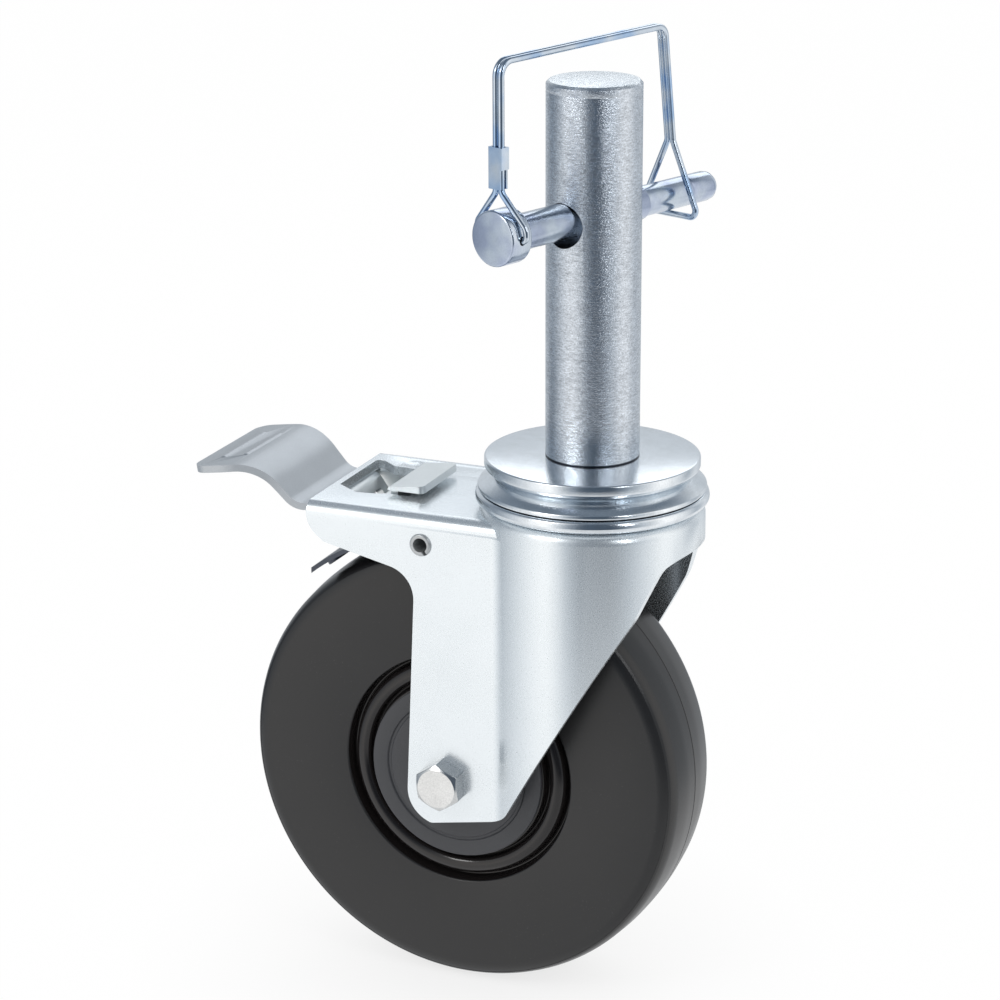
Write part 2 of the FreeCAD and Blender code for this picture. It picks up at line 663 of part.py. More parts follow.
def hub_cap(side):
    low = HUB_FACE_Y
    high = HUB_FACE_Y + CAP_T
    line = CAP_LINE_R
    profile = [(CAP_HOLE_R, low), (CAP_R, low), (CAP_R, high - 0.6), (CAP_R - 0.6, high)]
    profile += [(line + 0.5, high), (line, high - 0.5), (line - 0.5, high), (CAP_HOLE_R + 5, high)]
    profile += [(CAP_HOLE_R + 4, high - 0.6), (CAP_HOLE_R, high - 0.6)]
    return turned_on_axle([(r, side * y) for r, y in profile])


def bearing_outer(side):
    low = BEARING_OUT_Y - BEARING_W
    wall = BEARING_PITCH + 1.9
    profile = [(wall, low), (BEARING_R, low), (BEARING_R, BEARING_OUT_Y), (wall, BEARING_OUT_Y)]
    return turned_on_axle([(r, side * y) for r, y in profile]).cut(bearing_track(side))


def bearing_inner(side):
    low = BEARING_OUT_Y - BEARING_W
    bore = BEARING_BORE + FIT
    wall = BEARING_PITCH - 1.9
    profile = [(bore, low), (wall, low), (wall, BEARING_OUT_Y), (bore, BEARING_OUT_Y)]
    return turned_on_axle([(r, side * y) for r, y in profile]).cut(bearing_track(side))


def bearing_track(side):
    centre = V(AXLE_X, side * (BEARING_OUT_Y - BEARING_W / 2), AXLE_Z)
    return Part.makeTorus(BEARING_PITCH, BEARING_BALL_R + 0.06, centre, Y_AXIS)


def bearing_balls(side):
    centre = V(AXLE_X, side * (BEARING_OUT_Y - BEARING_W / 2), AXLE_Z)
    return ring_of_balls(BEARING_COUNT, BEARING_BALL_R, BEARING_PITCH, centre, Y_AXIS)


def axle_sleeve():
    return tube(BEARING_BORE, BOLT_R + FIT, V(AXLE_X, -CHEEK_IN, AXLE_Z), 2 * CHEEK_IN, Y_AXIS)


def bearing_spacer():
    length = 2 * (BEARING_OUT_Y - BEARING_W)
    start = V(AXLE_X, -length / 2, AXLE_Z)
    return tube(INNER_SPACER_R, BEARING_BORE + FIT, start, length, Y_AXIS)


def side_spacer(side):
    start = V(AXLE_X, side * BEARING_OUT_Y, AXLE_Z)
    length = CHEEK_IN - BEARING_OUT_Y
    return tube(SPACER_R, BEARING_BORE + FIT, start, length, V(0, side, 0))


def axle_bolt():
    end = HALF_W + AXLE_WASHER_T + NUT_H + BOLT_END
    shank = Part.makeCylinder(BOLT_R, HALF_W + end, V(AXLE_X, -HALF_W, AXLE_Z), Y_AXIS)
    tip = edges_where(shank, lambda e: e.BoundBox.YMin > end - 0.1)
    shank = shank.makeChamfer(1.0, tip)
    head = hexagon(BOLT_AF, BOLT_HEAD_H, V(AXLE_X, -HALF_W, AXLE_Z), V(0, -1, 0), 4)
    return shank.fuse(head).removeSplitter()


def axle_washer():
    return tube(AXLE_WASHER_R, BOLT_R + FIT, V(AXLE_X, HALF_W, AXLE_Z), AXLE_WASHER_T, Y_AXIS)


def axle_nut():
    seat = V(AXLE_X, HALF_W + AXLE_WASHER_T, AXLE_Z)
    nut = hexagon(BOLT_AF, NUT_H, seat, Y_AXIS, 11)
    return nut.cut(Part.makeCylinder(BOLT_R + FIT, NUT_H, seat, Y_AXIS))


def lock_pin():
    start = pin_point(HEAD_BACK - PIN_HEAD_L, 0, PIN_Z)
    head = Part.makeCylinder(PIN_HEAD_R, PIN_HEAD_L, start, ALONG)
    head = head.makeFillet(HEAD_ROUND, edges_where(head, lambda e: len(e.Vertexes) == 1))
    shank = Part.makeCylinder(PIN_R, STEP_AT - HEAD_BACK + 1, pin_point(HEAD_BACK - 1, 0, PIN_Z), ALONG)
    shank = shank.makeChamfer(0.9, edges_where(shank, lambda e: e.CenterOfMass.dot(ALONG) > STEP_AT - 1
                                               and len(e.Vertexes) == 1))
    nose = Part.makeCylinder(NOSE_R, PIN_TIP - STEP_AT + 1, pin_point(STEP_AT - 1, 0, PIN_Z), ALONG)
    nose = nose.makeFillet(NOSE_R - 1.5, edges_where(nose, lambda e: e.CenterOfMass.dot(ALONG) > PIN_TIP - 1
                                                     and len(e.Vertexes) == 1))
    pin = head.multiFuse([shank, nose])
    across = Part.makeCylinder(HEAD_HOLE_R, 4 * PIN_HEAD_R, pin_point(PIVOT_T, -2 * PIN_HEAD_R, PIN_Z), ACROSS)
    return pin.cut(across).removeSplitter()


def bail_wire():
    strand = WIRE_R + WIRE_GAP / 2
    hook = PIN_HEAD_R - HOOK_DEPTH
    loop_z = PIN_Z - NOSE_R - LOOP_CLEAR - WIRE_R
    half_route = [
        pin_point(PIVOT_T, hook, PIN_Z),
        pin_point(PIVOT_T, V_HALF, PIN_Z),
        pin_point(PIVOT_T, V_HALF, PIN_Z + V_STRAIGHT),
        pin_point(NEAR_LEG_T, strand, LEG_SPREAD_Z),
        pin_point(NEAR_LEG_T, strand, BAIL_TOP_Z),
        pin_point(FAR_TOP_T, strand, BAIL_TOP_Z + BAIL_SLOPE),
        pin_point(LOOP_T, strand, LOOP_APEX_Z),
        pin_point(LOOP_T, LOOP_HALF, loop_z),
    ]
    mirrored = []
    for point in half_route:
        across = point.dot(ACROSS)
        mirrored.append(point - ACROSS * (2 * across))
    radii = [HOOK_BEND_R, SPREAD_R, SPREAD_R, CORNER_R, FAR_CORNER_R, SPREAD_R, LOOP_BEND_R]
    path = rounded_path(half_route + mirrored[::-1], radii + radii[::-1])
    section = Part.Wire(Part.makeCircle(WIRE_R, half_route[0], ACROSS))
    return path.makePipeShell([section], True, True)


def bail_ferrule():
    strand = WIRE_R + WIRE_GAP / 2
    inner_across = strand + WIRE_R + FIT
    inner_along = WIRE_R + FIT
    low, high = FERRULE_Z
    outer = pin_block(inner_across + FERRULE_WALL, inner_along + FERRULE_WALL, low, high)
    inner = pin_block(inner_across, inner_along, low - 1, high + 1)
    reach = 4 * inner_across
    seam = pin_block(FERRULE_SEAM / 2, reach, FERRULE_CUT_Z, high + 1)
    seam.translate(ALONG * reach)
    side_cut = pin_block(reach, reach, low - 1, FERRULE_CUT_Z)
    side_cut.translate(ACROSS * (reach + inner_across - FIT))
    return outer.cut(inner).cut(side_cut).cut(seam)


def pin_block(half_across, half_along, low, high):
    """A block about the near leg, square to the cross pin."""
    block = Part.makeBox(2 * half_along, 2 * half_across, high - low, V(-half_along, -half_across, low))
    block.rotate(V(0, 0, 0), Z_AXIS, PIN_TURN)
    block.translate(pin_point(NEAR_LEG_T, 0, 0))
    return block


NODES = {
    "stem": stem,
    "top_disc": top_disc,
    "head_cup": head_cup,
    "upper_balls": upper_balls,
    "king_sleeve": king_sleeve,
    "lower_race": lower_race,
    "lower_balls": lower_balls,
    "king_washer": king_washer,
    "king_bolt": king_bolt,
    "fork": fork,
    "race_ring": race_ring,
    "roll_pin": roll_pin,
    "pivot_bushes": pivot_bushes,
    "axle_bolt": axle_bolt,
    "axle_washer": axle_washer,
    "axle_nut": axle_nut,
    "axle_sleeve": axle_sleeve,
    "bearing_spacer": bearing_spacer,
    "near_spacer": lambda: side_spacer(-1),
    "far_spacer": lambda: side_spacer(1),
    "near_inner_ring": lambda: bearing_inner(-1),
    "far_inner_ring": lambda: bearing_inner(1),
    "tyre": tyre,
    "wheel_core": wheel_core,
    "near_hub_cap": lambda: hub_cap(-1),
    "far_hub_cap": lambda: hub_cap(1),
    "near_outer_ring": lambda: bearing_outer(-1),
    "far_outer_ring": lambda: bearing_outer(1),
    "near_bearing_balls": lambda: bearing_balls(-1),
    "far_bearing_balls": lambda: bearing_balls(1),
    "pedal": pedal,
    "brake_shoe": brake_shoe,
    "brake_studs": brake_studs,
    "lock_pin": lock_pin,
    "bail_wire": bail_wire,
    "bail_ferrule": bail_ferrule,
}

os.makedirs("parts", exist_ok=True)
for name, build in NODES.items():
    shape = build()
    shape.exportStep(os.path.join("parts", name + ".step"))
    box = shape.BoundBox
    print(name, "valid" if shape.isValid() else "NOT VALID", len(shape.Solids), round(shape.Volume, 1),
          [round(v, 1) for v in (box.XMin, box.XMax, box.YMin, box.YMax, box.ZMin, box.ZMax)])
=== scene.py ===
import json
import math

import bmesh
import bpy
from mathutils import Matrix, Vector


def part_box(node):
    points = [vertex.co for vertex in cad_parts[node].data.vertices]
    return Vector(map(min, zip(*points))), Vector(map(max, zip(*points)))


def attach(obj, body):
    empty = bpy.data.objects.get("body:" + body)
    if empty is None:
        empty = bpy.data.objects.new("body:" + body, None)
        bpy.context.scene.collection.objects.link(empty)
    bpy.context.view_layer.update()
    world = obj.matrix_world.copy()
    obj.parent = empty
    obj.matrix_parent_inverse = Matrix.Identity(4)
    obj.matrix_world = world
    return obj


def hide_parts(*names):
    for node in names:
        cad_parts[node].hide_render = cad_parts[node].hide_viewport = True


bl_info = {
    "name": "Scaffold Castor",
    "version": (1, 0, 0),
    "blender": (4, 5, 0),
    "location": "View3D > Sidebar > Castor",
    "description": "Dresses the frame of a scaffold castor in zinc plate, black rubber and bright wire",
    "category": "Object",
}

# Frame: metres, +Z up the stem, origin on the disc's upper face, the axle and pedal at -X
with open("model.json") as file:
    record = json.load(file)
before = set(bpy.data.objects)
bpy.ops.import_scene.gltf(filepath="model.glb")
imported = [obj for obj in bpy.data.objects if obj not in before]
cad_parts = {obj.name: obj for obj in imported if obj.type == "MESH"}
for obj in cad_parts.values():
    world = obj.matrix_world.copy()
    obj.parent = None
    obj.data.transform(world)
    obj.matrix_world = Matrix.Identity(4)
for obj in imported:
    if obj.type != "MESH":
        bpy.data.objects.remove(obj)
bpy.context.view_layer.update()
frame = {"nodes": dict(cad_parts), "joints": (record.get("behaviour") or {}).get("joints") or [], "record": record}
JOINTS = {joint["name"]: joint for joint in frame["joints"]}

MM = 0.001
AXLE = Vector(JOINTS["wheel_spin"]["pos_m"])
PIN_WAY = Vector(JOINTS["pin_slide"]["axis"])
ACROSS = Vector(JOINTS["bail_swing"]["axis"])
PIN_HINGE = Vector(JOINTS["bail_swing"]["pos_m"])
STEM_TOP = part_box("stem")[1].z
FLOOR_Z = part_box("tyre")[0].z


def turned_to(axis, origin):
    """A matrix that lays +Z along axis and the origin at origin."""
    turn = Vector((0, 0, 1)).rotation_difference(Vector(axis)).to_matrix().to_4x4()
    return Matrix.Translation(Vector(origin)) @ turn


UPRIGHT = Matrix.Identity(4)
NEAR_SIDE = turned_to((0, -1, 0), AXLE)
FAR_SIDE = turned_to((0, 1, 0), AXLE)


class CastorSettings(bpy.types.PropertyGroup):
    """Sizes and colours that a user may want to change."""

    edge_round: bpy.props.FloatProperty(
        name="Edge rounding",
        description="Width of the small rounding on cut edges of sheet and bolts",
        default=0.00035,
        min=0.0,
        precision=5,
        unit="LENGTH",
    )
    stem_line_drop: bpy.props.FloatProperty(
        name="Turned line",
        description="How far the fine turned line lies under the stem's top",
        default=0.0042,
        precision=4,
        unit="LENGTH",
    )
    sheet_colour: bpy.props.FloatVectorProperty(
        name="Fork zinc", description="Colour of the pressed fork", subtype="COLOR", size=3,
        default=(0.80, 0.852, 0.888),
    )
    stem_colour: bpy.props.FloatVectorProperty(
        name="Stem zinc", description="Colour of the stem", subtype="COLOR", size=3,
        default=(0.59, 0.635, 0.69),
    )
    turned_colour: bpy.props.FloatVectorProperty(
        name="Turned zinc", description="Colour of the disc and the rings", subtype="COLOR", size=3,
        default=(0.755, 0.80, 0.84),
    )
    pin_colour: bpy.props.FloatVectorProperty(
        name="Pin zinc", description="Colour of the cross pin and the bail", subtype="COLOR", size=3,
        default=(0.60, 0.67, 0.75),
    )
    pedal_colour: bpy.props.FloatVectorProperty(
        name="Pedal zinc", description="Colour of the pedal", subtype="COLOR", size=3,
        default=(0.50, 0.53, 0.56),
    )
    rubber_colour: bpy.props.FloatVectorProperty(
        name="Rubber", description="Colour of the tyre", subtype="COLOR", size=3,
        default=(0.0145, 0.0146, 0.0155),
    )
    floor_colour: bpy.props.FloatVectorProperty(
        name="Floor", description="Colour of the floor", subtype="COLOR", size=3,
        default=(0.9, 0.9, 0.9),
    )


def settings():
    return bpy.context.scene.castor


# Shader helpers


def node(tree, kind, inputs=None, **attributes):
    """Adds a shader node. An input may be a plain value or another node's socket."""
    made = tree.nodes.new(kind)
    for key, value in attributes.items():
        setattr(made, key, value)
    for key, value in (inputs or {}).items():
        if isinstance(value, bpy.types.NodeSocket):
            tree.links.new(value, made.inputs[key])
        else:
            made.inputs[key].default_value = value
    return made


def maths(tree, operation, first, second=0.0):
    return node(tree, "ShaderNodeMath", {0: first, 1: second}, operation=operation).outputs[0]


def noise(tree, vector, scale, detail=2.0, roughness=0.5):
    values = {"Vector": vector, "Scale": scale, "Detail": detail, "Roughness": roughness}
    return node(tree, "ShaderNodeTexNoise", values).outputs["Fac"]


def remap(tree, value, low, high, to_low=0.0, to_high=1.0):
    values = {"Value": value, "From Min": low, "From Max": high, "To Min": to_low, "To Max": to_high}
    return node(tree, "ShaderNodeMapRange", values).outputs["Result"]


def blend_colours(tree, amount, first, second, mode="MIX"):
    """Mixes two colours. Sockets 0, 6 and 7 are the factor and the two colours."""
    mix = node(tree, "ShaderNodeMix", {0: amount, 6: first, 7: second}, data_type="RGBA", blend_type=mode)
    return mix.outputs[2]


def opaque(colour):
    return (colour[0], colour[1], colour[2], 1.0)


def new_group(name, inputs, outputs):
    """An empty shader node group with float or vector sockets."""
    group = bpy.data.node_groups.new(name, "ShaderNodeTree")
    for label, kind, value in inputs:
        socket = group.interface.new_socket(label, in_out="INPUT", socket_type=kind)
        if value is not None:
            socket.default_value = value
    for label, kind in outputs:
        group.interface.new_socket(label, in_out="OUTPUT", socket_type=kind)
    return group, group.nodes.new("NodeGroupInput").outputs, group.nodes.new("NodeGroupOutput").inputs


# How marks round a turned bar are stretched: long ones and short dashes, both thin along +Z
LONG_MARKS = (25.0, 25.0, 900.0)
SHORT_DASHES = (420.0, 420.0, 1500.0)


def centred(tree, pattern, amount):
    """Centres a pattern of 0 to 1 on zero and scales it."""
    return maths(tree, "MULTIPLY", maths(tree, "SUBTRACT", pattern, 0.5), amount)


def stretched(tree, vector, scale):
    return node(tree, "ShaderNodeMapping", {"Vector": vector, "Scale": scale}).outputs["Vector"]


def zinc_skin_group():
    """Mottled plating: broad clouds, fine crystals and, on request, marks that run round +Z."""
    group, given, out = new_group(
        "Zinc Skin",
        [
            ("Vector", "NodeSocketVector", None),
            ("Cloud Scale", "NodeSocketFloat", 45.0),
            ("Clouds", "NodeSocketFloat", 0.1),
            ("Grain Scale", "NodeSocketFloat", 1600.0),
            ("Grain", "NodeSocketFloat", 0.2),
            ("Marks", "NodeSocketFloat", 0.0),
            ("Streaks", "NodeSocketFloat", 0.0),
        ],
        [("Shade", "NodeSocketFloat"), ("Height", "NodeSocketFloat")],
    )
    place = given["Vector"]
    clouds = noise(group, place, given["Cloud Scale"], detail=4.0, roughness=0.6)
    grain = noise(group, place, given["Grain Scale"], detail=3.0, roughness=0.65)
    marks = noise(group, stretched(group, place, LONG_MARKS), 1.0, detail=3.0, roughness=0.7)
    dashes = noise(group, stretched(group, place, SHORT_DASHES), 1.0, detail=3.0, roughness=0.75)
    broad = centred(group, clouds, given["Clouds"])
    fine = centred(group, grain, given["Grain"])
    long = centred(group, marks, given["Marks"])
    lines = maths(group, "ADD", long, centred(group, dashes, given["Streaks"]))
    total = maths(group, "ADD", maths(group, "ADD", broad, fine), lines)
    group.links.new(maths(group, "ADD", total, 1.0), out["Shade"])
    group.links.new(maths(group, "ADD", fine, lines), out["Height"])
    return group


def ring_marks_group():
    """Fine turning marks, concentric about the given vector's +Z."""
    group, given, out = new_group(
        "Ring Marks",
        [("Vector", "NodeSocketVector", None), ("Scale", "NodeSocketFloat", 2500.0)],
        [("Height", "NodeSocketFloat")],
    )
    parts = node(group, "ShaderNodeSeparateXYZ", {0: given["Vector"]}).outputs
    flat = node(group, "ShaderNodeCombineXYZ", {"X": parts["X"], "Y": parts["Y"]})
    radius = node(group, "ShaderNodeVectorMath", {0: flat.outputs[0]}, operation="LENGTH")
    line = node(group, "ShaderNodeCombineXYZ", {"X": radius.outputs["Value"], "Y": parts["Z"]})
    marks = noise(group, line.outputs[0], given["Scale"], detail=3.0, roughness=0.7)
    group.links.new(marks, out["Height"])
    return group


def dust_group():
    """Sparse pale specks, as dust and moulding marks on black."""
    group, given, out = new_group(
        "Fine Dust",
        [("Vector", "NodeSocketVector", None), ("Amount", "NodeSocketFloat", 0.5)],
        [("Mask", "NodeSocketFloat")],
    )
    specks = noise(group, given["Vector"], 1300.0, 2.0, 0.5)
    patches = noise(group, given["Vector"], 30.0, 3.0, 0.5)
    found = remap(group, specks, 0.68, 0.8)
    spread = maths(group, "MULTIPLY", found, remap(group, patches, 0.4, 0.7))
    group.links.new(maths(group, "MULTIPLY", spread, given["Amount"]), out["Mask"])
    return group


GROUPS = {}


def group_node(tree, name, inputs):
    """Places one of the shared groups, building it the first time."""
    makers = {"Zinc Skin": zinc_skin_group, "Ring Marks": ring_marks_group, "Fine Dust": dust_group}
    if name not in GROUPS:
        GROUPS[name] = makers[name]()
    placed = node(tree, "ShaderNodeGroup", node_tree=GROUPS[name])
    for key, value in inputs.items():
        if isinstance(value, bpy.types.NodeSocket):
            tree.links.new(value, placed.inputs[key])
        else:
            placed.inputs[key].default_value = value
    return placed.outputs


def new_material(name):
    material = bpy.data.materials.new(name)
    material.use_nodes = True
    tree = material.node_tree
    shader = tree.nodes["Principled BSDF"]
    place = node(tree, "ShaderNodeTexCoord").outputs["Object"]
    return material, tree, shader, place


def add_bump(tree, shader, height, strength, distance):
    bump = node(tree, "ShaderNodeBump", {"Height": height, "Strength": strength, "Distance": distance})
    tree.links.new(bump.outputs["Normal"], shader.inputs["Normal"])


# Depth in metres of the relief of metal and of rubber, the share of turning marks in it, and how far
# a lighter shade of plating is smoother
METAL_RELIEF = 0.0004
RUBBER_RELIEF = 0.0002
RING_SHARE = 0.4
GLOSS_SWING = 0.05

DUST_COLOUR = (0.25, 0.25, 0.26)


def zinc(name, colour, roughness, skin, bump, metal=1.0, tint=None, rings=False, fades=()):
    """Zinc plate or bare steel.

    skin feeds the skin group, tint lies over the colour in clouds, rings adds turning marks about +Z,
    and each of the fades is an axis, where it starts and is full, and its colour.
    """
    material, tree, shader, place = new_material(name)
    plating = group_node(tree, "Zinc Skin", dict(skin, Vector=place))
    shade = plating["Shade"]
    tones = node(tree, "ShaderNodeCombineColor", {0: shade, 1: shade, 2: shade}).outputs[0]
    base = opaque(colour)
    if tint:
        wash = noise(tree, place, 70.0)
        base = blend_colours(tree, remap(tree, wash, 0.42, 0.62), base, opaque(tint))
    for axis, start, end, other in fades:
        along = node(tree, "ShaderNodeSeparateXYZ", {0: place}).outputs[axis]
        base = blend_colours(tree, remap(tree, along, start, end), base, opaque(other))
    tree.links.new(blend_colours(tree, 1.0, base, tones, "MULTIPLY"), shader.inputs["Base Color"])
    shader.inputs["Metallic"].default_value = metal
    spread = remap(tree, shade, 0.85, 1.15, roughness + GLOSS_SWING, roughness - GLOSS_SWING)
    tree.links.new(spread, shader.inputs["Roughness"])
    height = plating["Height"]
    if rings:
        marks = group_node(tree, "Ring Marks", {"Vector": place})
        height = maths(tree, "ADD", height, maths(tree, "MULTIPLY", marks["Height"], RING_SHARE))
    add_bump(tree, shader, height, bump, METAL_RELIEF)
    return material


def black(name, colour, roughness, dust, bump):
    """Black rubber or plastic with a fine grain, a little wear and a little dust."""
    material, tree, shader, place = new_material(name)
    specks = group_node(tree, "Fine Dust", {"Vector": place, "Amount": dust})
    dusty = blend_colours(tree, specks["Mask"], opaque(colour), opaque(DUST_COLOUR))
    tree.links.new(dusty, shader.inputs["Base Color"])
    wear = noise(tree, place, 38.0, detail=3.0)
    spread = remap(tree, wear, 0.3, 0.7, roughness - 0.02, roughness + 0.03)
    tree.links.new(spread, shader.inputs["Roughness"])
    add_bump(tree, shader, noise(tree, place, 1800.0), bump, RUBBER_RELIEF)
    return material


MATERIALS = {}


def material_for(slot):
    """The material of a slot of the record, made once."""
    if slot not in MATERIALS:
        MATERIALS[slot] = MATERIAL_MAKERS[slot]()
    return MATERIALS[slot]


def zinc_stem():
    """Drawn bar with marks round it, painted shade as a dark line just above the disc, and a paler turned top."""
    skin = {"Cloud Scale": 160.0, "Clouds": 0.4, "Grain Scale": 1700.0, "Grain": 1.1}
    skin.update({"Marks": 0.3, "Streaks": 1.3})
    # Painted shade: the bar darkens to near black just above the disc, where shade falls in the joint
    painted_joint_shade = ("Z", 0.9 * MM, 0.4 * MM, (0.02, 0.025, 0.035))
    turned_top = ("Z", STEM_TOP - 0.8 * MM, STEM_TOP - 0.3 * MM, (0.78, 0.83, 0.87))
    return zinc("Stem zinc", settings().stem_colour, 0.22, skin, bump=0.3, fades=[painted_joint_shade, turned_top])


def zinc_turned():
    skin = {"Cloud Scale": 150.0, "Clouds": 0.3, "Grain Scale": 1700.0, "Grain": 0.3}
    return zinc("Turned zinc", settings().turned_colour, 0.16, skin, bump=0.16, rings=True)


def zinc_sheet():
    skin = {"Cloud Scale": 40.0, "Clouds": 0.08, "Grain Scale": 1500.0, "Grain": 0.14}
    return zinc("Sheet zinc", settings().sheet_colour, 0.27, skin, bump=0.08, metal=0.78)


def zinc_pedal():
    """Matte sheet, with a painted reflection making it paler on the stretch that lies in the fork."""
    skin = {"Cloud Scale": 70.0, "Clouds": 0.12, "Grain Scale": 1900.0, "Grain": 0.2}
    # Painted reflection: the stretch in the fork is made paler to stand for the bright light it reflects there
    painted_fork_light = ("X", -122 * MM, -112 * MM, (0.76, 0.80, 0.81))
    return zinc("Pedal zinc", settings().pedal_colour, 0.4, skin, bump=0.15, metal=0.85, fades=[painted_fork_light])


def zinc_pin():
    skin = {"Cloud Scale": 120.0, "Clouds": 0.3, "Grain Scale": 1800.0, "Grain": 0.3}
    return zinc("Pin zinc", settings().pin_colour, 0.17, skin, tint=(0.45, 0.51, 0.65), bump=0.12)


def zinc_wire():
    skin = {"Cloud Scale": 160.0, "Clouds": 0.35, "Grain Scale": 2500.0, "Grain": 0.2}
    return zinc("Wire zinc", settings().pin_colour, 0.12, skin, tint=(0.38, 0.52, 0.72), bump=0.06)


def bolt_steel():
    skin = {"Cloud Scale": 90.0, "Clouds": 0.25, "Grain Scale": 1500.0, "Grain": 0.35}
    return zinc("Bolt steel", (0.70, 0.71, 0.71), 0.22, skin, bump=0.22)


def bearing_steel():
    skin = {"Cloud Scale": 90.0, "Clouds": 0.1, "Grain Scale": 2500.0, "Grain": 0.1}
    return zinc("Bearing steel", (0.5, 0.51, 0.53), 0.22, skin, bump=0.05)


def spring_steel():
    skin = {"Cloud Scale": 90.0, "Clouds": 0.3, "Grain Scale": 2000.0, "Grain": 0.3}
    return zinc("Spring steel", (0.46, 0.48, 0.49), 0.3, skin, bump=0.1, metal=0.6)


def shoe_steel():
    skin = {"Cloud Scale": 90.0, "Clouds": 0.4, "Grain Scale": 1500.0, "Grain": 0.4}
    return zinc("Shoe steel", (0.09, 0.1, 0.12), 0.38, skin, bump=0.3)


def black_rubber():
    return black("Black rubber", settings().rubber_colour, roughness=0.3, dust=0.2, bump=0.1)


def black_core():
    return black("Black core", (0.012, 0.0105, 0.0105), roughness=0.13, dust=0.25, bump=0.05)


def cap_plastic():
    return black("Cap plastic", (0.05, 0.052, 0.058), roughness=0.42, dust=0.5, bump=0.2)


MATERIAL_MAKERS = {
    "zinc_stem": zinc_stem,
    "zinc_turned": zinc_turned,
    "zinc_sheet": zinc_sheet,
    "zinc_pedal": zinc_pedal,
    "zinc_pin": zinc_pin,
    "zinc_wire": zinc_wire,
    "bolt_steel": bolt_steel,
    "bearing_steel": bearing_steel,
    "spring_steel": spring_steel,
    "shoe_steel": shoe_steel,
    "black_rubber": black_rubber,
    "black_core": black_core,
    "cap_plastic": cap_plastic,
}


# Mesh helpers

BODY_OF = {name: body for body, names in frame["record"]["behaviour"]["bodies"].items() for name in names}
SLOT_OF = {part["node"]: part["material_slot"] for part in frame["record"]["subparts"]}

SMOOTH_ANGLE = math.radians(32)
EDGE_ANGLE = math.radians(35)
EDGE_STEPS = 2
ROUND_STEPS = 4
DRILL_SIDES = 64

# Steps of a full turn, for each size of turned piece
PIN_STEPS = 96
STEM_STEPS = 128
CAP_STEPS = 160
HEAD_STEPS = 192
TYRE_STEPS = 224

# Points closer than this are one: in new pieces, and in copies of the frame's meshes
WELD = 1e-6
FRAME_WELD = 2e-6


def smoothed(mesh):
    """Shades a mesh smooth, apart from its sharp edges."""
    for face in mesh.polygons:
        face.use_smooth = True
    mesh.set_sharp_from_angle(angle=SMOOTH_ANGLE)


def finished(name, shape, nodes):
    """Turns a bmesh into a piece that replaces the nodes and takes their body and slot."""
    mesh = bpy.data.meshes.new(name)
    shape.to_mesh(mesh)
    shape.free()
    smoothed(mesh)
    piece = bpy.data.objects.new(name, mesh)
    bpy.context.scene.collection.objects.link(piece)
    slot = SLOT_OF[nodes[0]]
    mesh.materials.append(material_for(slot))
    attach(piece, BODY_OF[nodes[0]])
    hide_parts(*nodes)
    return piece


def outline_face(shape, outline):
    """A flat face in the XZ plane from (radius, height, rounding) in millimetres, corners rounded."""
    corners = [shape.verts.new((radius * MM, 0, height * MM)) for radius, height, _ in outline]
    shape.faces.new(corners)
    for rounding in sorted({value for _, _, value in outline if value}):
        chosen = [corner for corner, point in zip(corners, outline) if point[2] == rounding]
        bmesh.ops.bevel(
            shape, geom=chosen, offset=rounding * MM, offset_type="OFFSET", segments=ROUND_STEPS,
            profile=0.5, affect="VERTICES", material=-1,
        )


def mirrored(half):
    """The other side of a half outline, walked back from its end."""
    return [(radius, -height, rounding) for radius, height, rounding in reversed(half)]


def spun(outline, place, steps):
    """A bmesh turned about +Z from a closed outline, then laid at place."""
    shape = bmesh.new()
    outline_face(shape, outline)
    bmesh.ops.delete(shape, geom=shape.faces[:], context="FACES_ONLY")
    on_axis = [edge for edge in shape.edges if all(abs(vert.co.x) < WELD for vert in edge.verts)]
    bmesh.ops.delete(shape, geom=on_axis, context="EDGES")
    bmesh.ops.spin(
        shape, geom=shape.verts[:] + shape.edges[:], cent=(0, 0, 0), axis=(0, 0, 1), dvec=(0, 0, 0),
        angle=math.tau, steps=steps, use_merge=True, use_duplicate=False,
    )
    bmesh.ops.remove_doubles(shape, verts=shape.verts[:], dist=WELD)
    bmesh.ops.recalc_face_normals(shape, faces=shape.faces[:])
    bmesh.ops.transform(shape, matrix=place, verts=shape.verts[:])
    return shape


def drilled(piece, radius, middle, way, length):
    """Cuts a round hole through a piece with an exact boolean, and keeps the result in its mesh."""
    drill = bmesh.new()
    bmesh.ops.create_cone(
        drill, cap_ends=True, segments=DRILL_SIDES, radius1=radius, radius2=radius, depth=length,
        matrix=turned_to(way, middle),
    )
    mesh = bpy.data.meshes.new("drill")
    drill.to_mesh(mesh)
    drill.free()
    tool = bpy.data.objects.new("drill", mesh)
    bpy.context.scene.collection.objects.link(tool)
    cut = piece.modifiers.new("Hole", "BOOLEAN")
    cut.operation = "DIFFERENCE"
    cut.solver = "EXACT"
    cut.object = tool
    held = bpy.context.evaluated_depsgraph_get()
    done = bpy.data.meshes.new_from_object(piece.evaluated_get(held))
    piece.modifiers.remove(cut)
    old = piece.data
    piece.data = done
    bpy.data.meshes.remove(old)
    bpy.data.objects.remove(tool)
    smoothed(done)


def soften(piece, width):
    """Rounds the sharp edges of a piece a little."""
    bevel = piece.modifiers.new("Soft edges", "BEVEL")
    bevel.width = width
    bevel.segments = EDGE_STEPS
    bevel.limit_method = "ANGLE"
    bevel.angle_limit = EDGE_ANGLE
    bevel.harden_normals = True


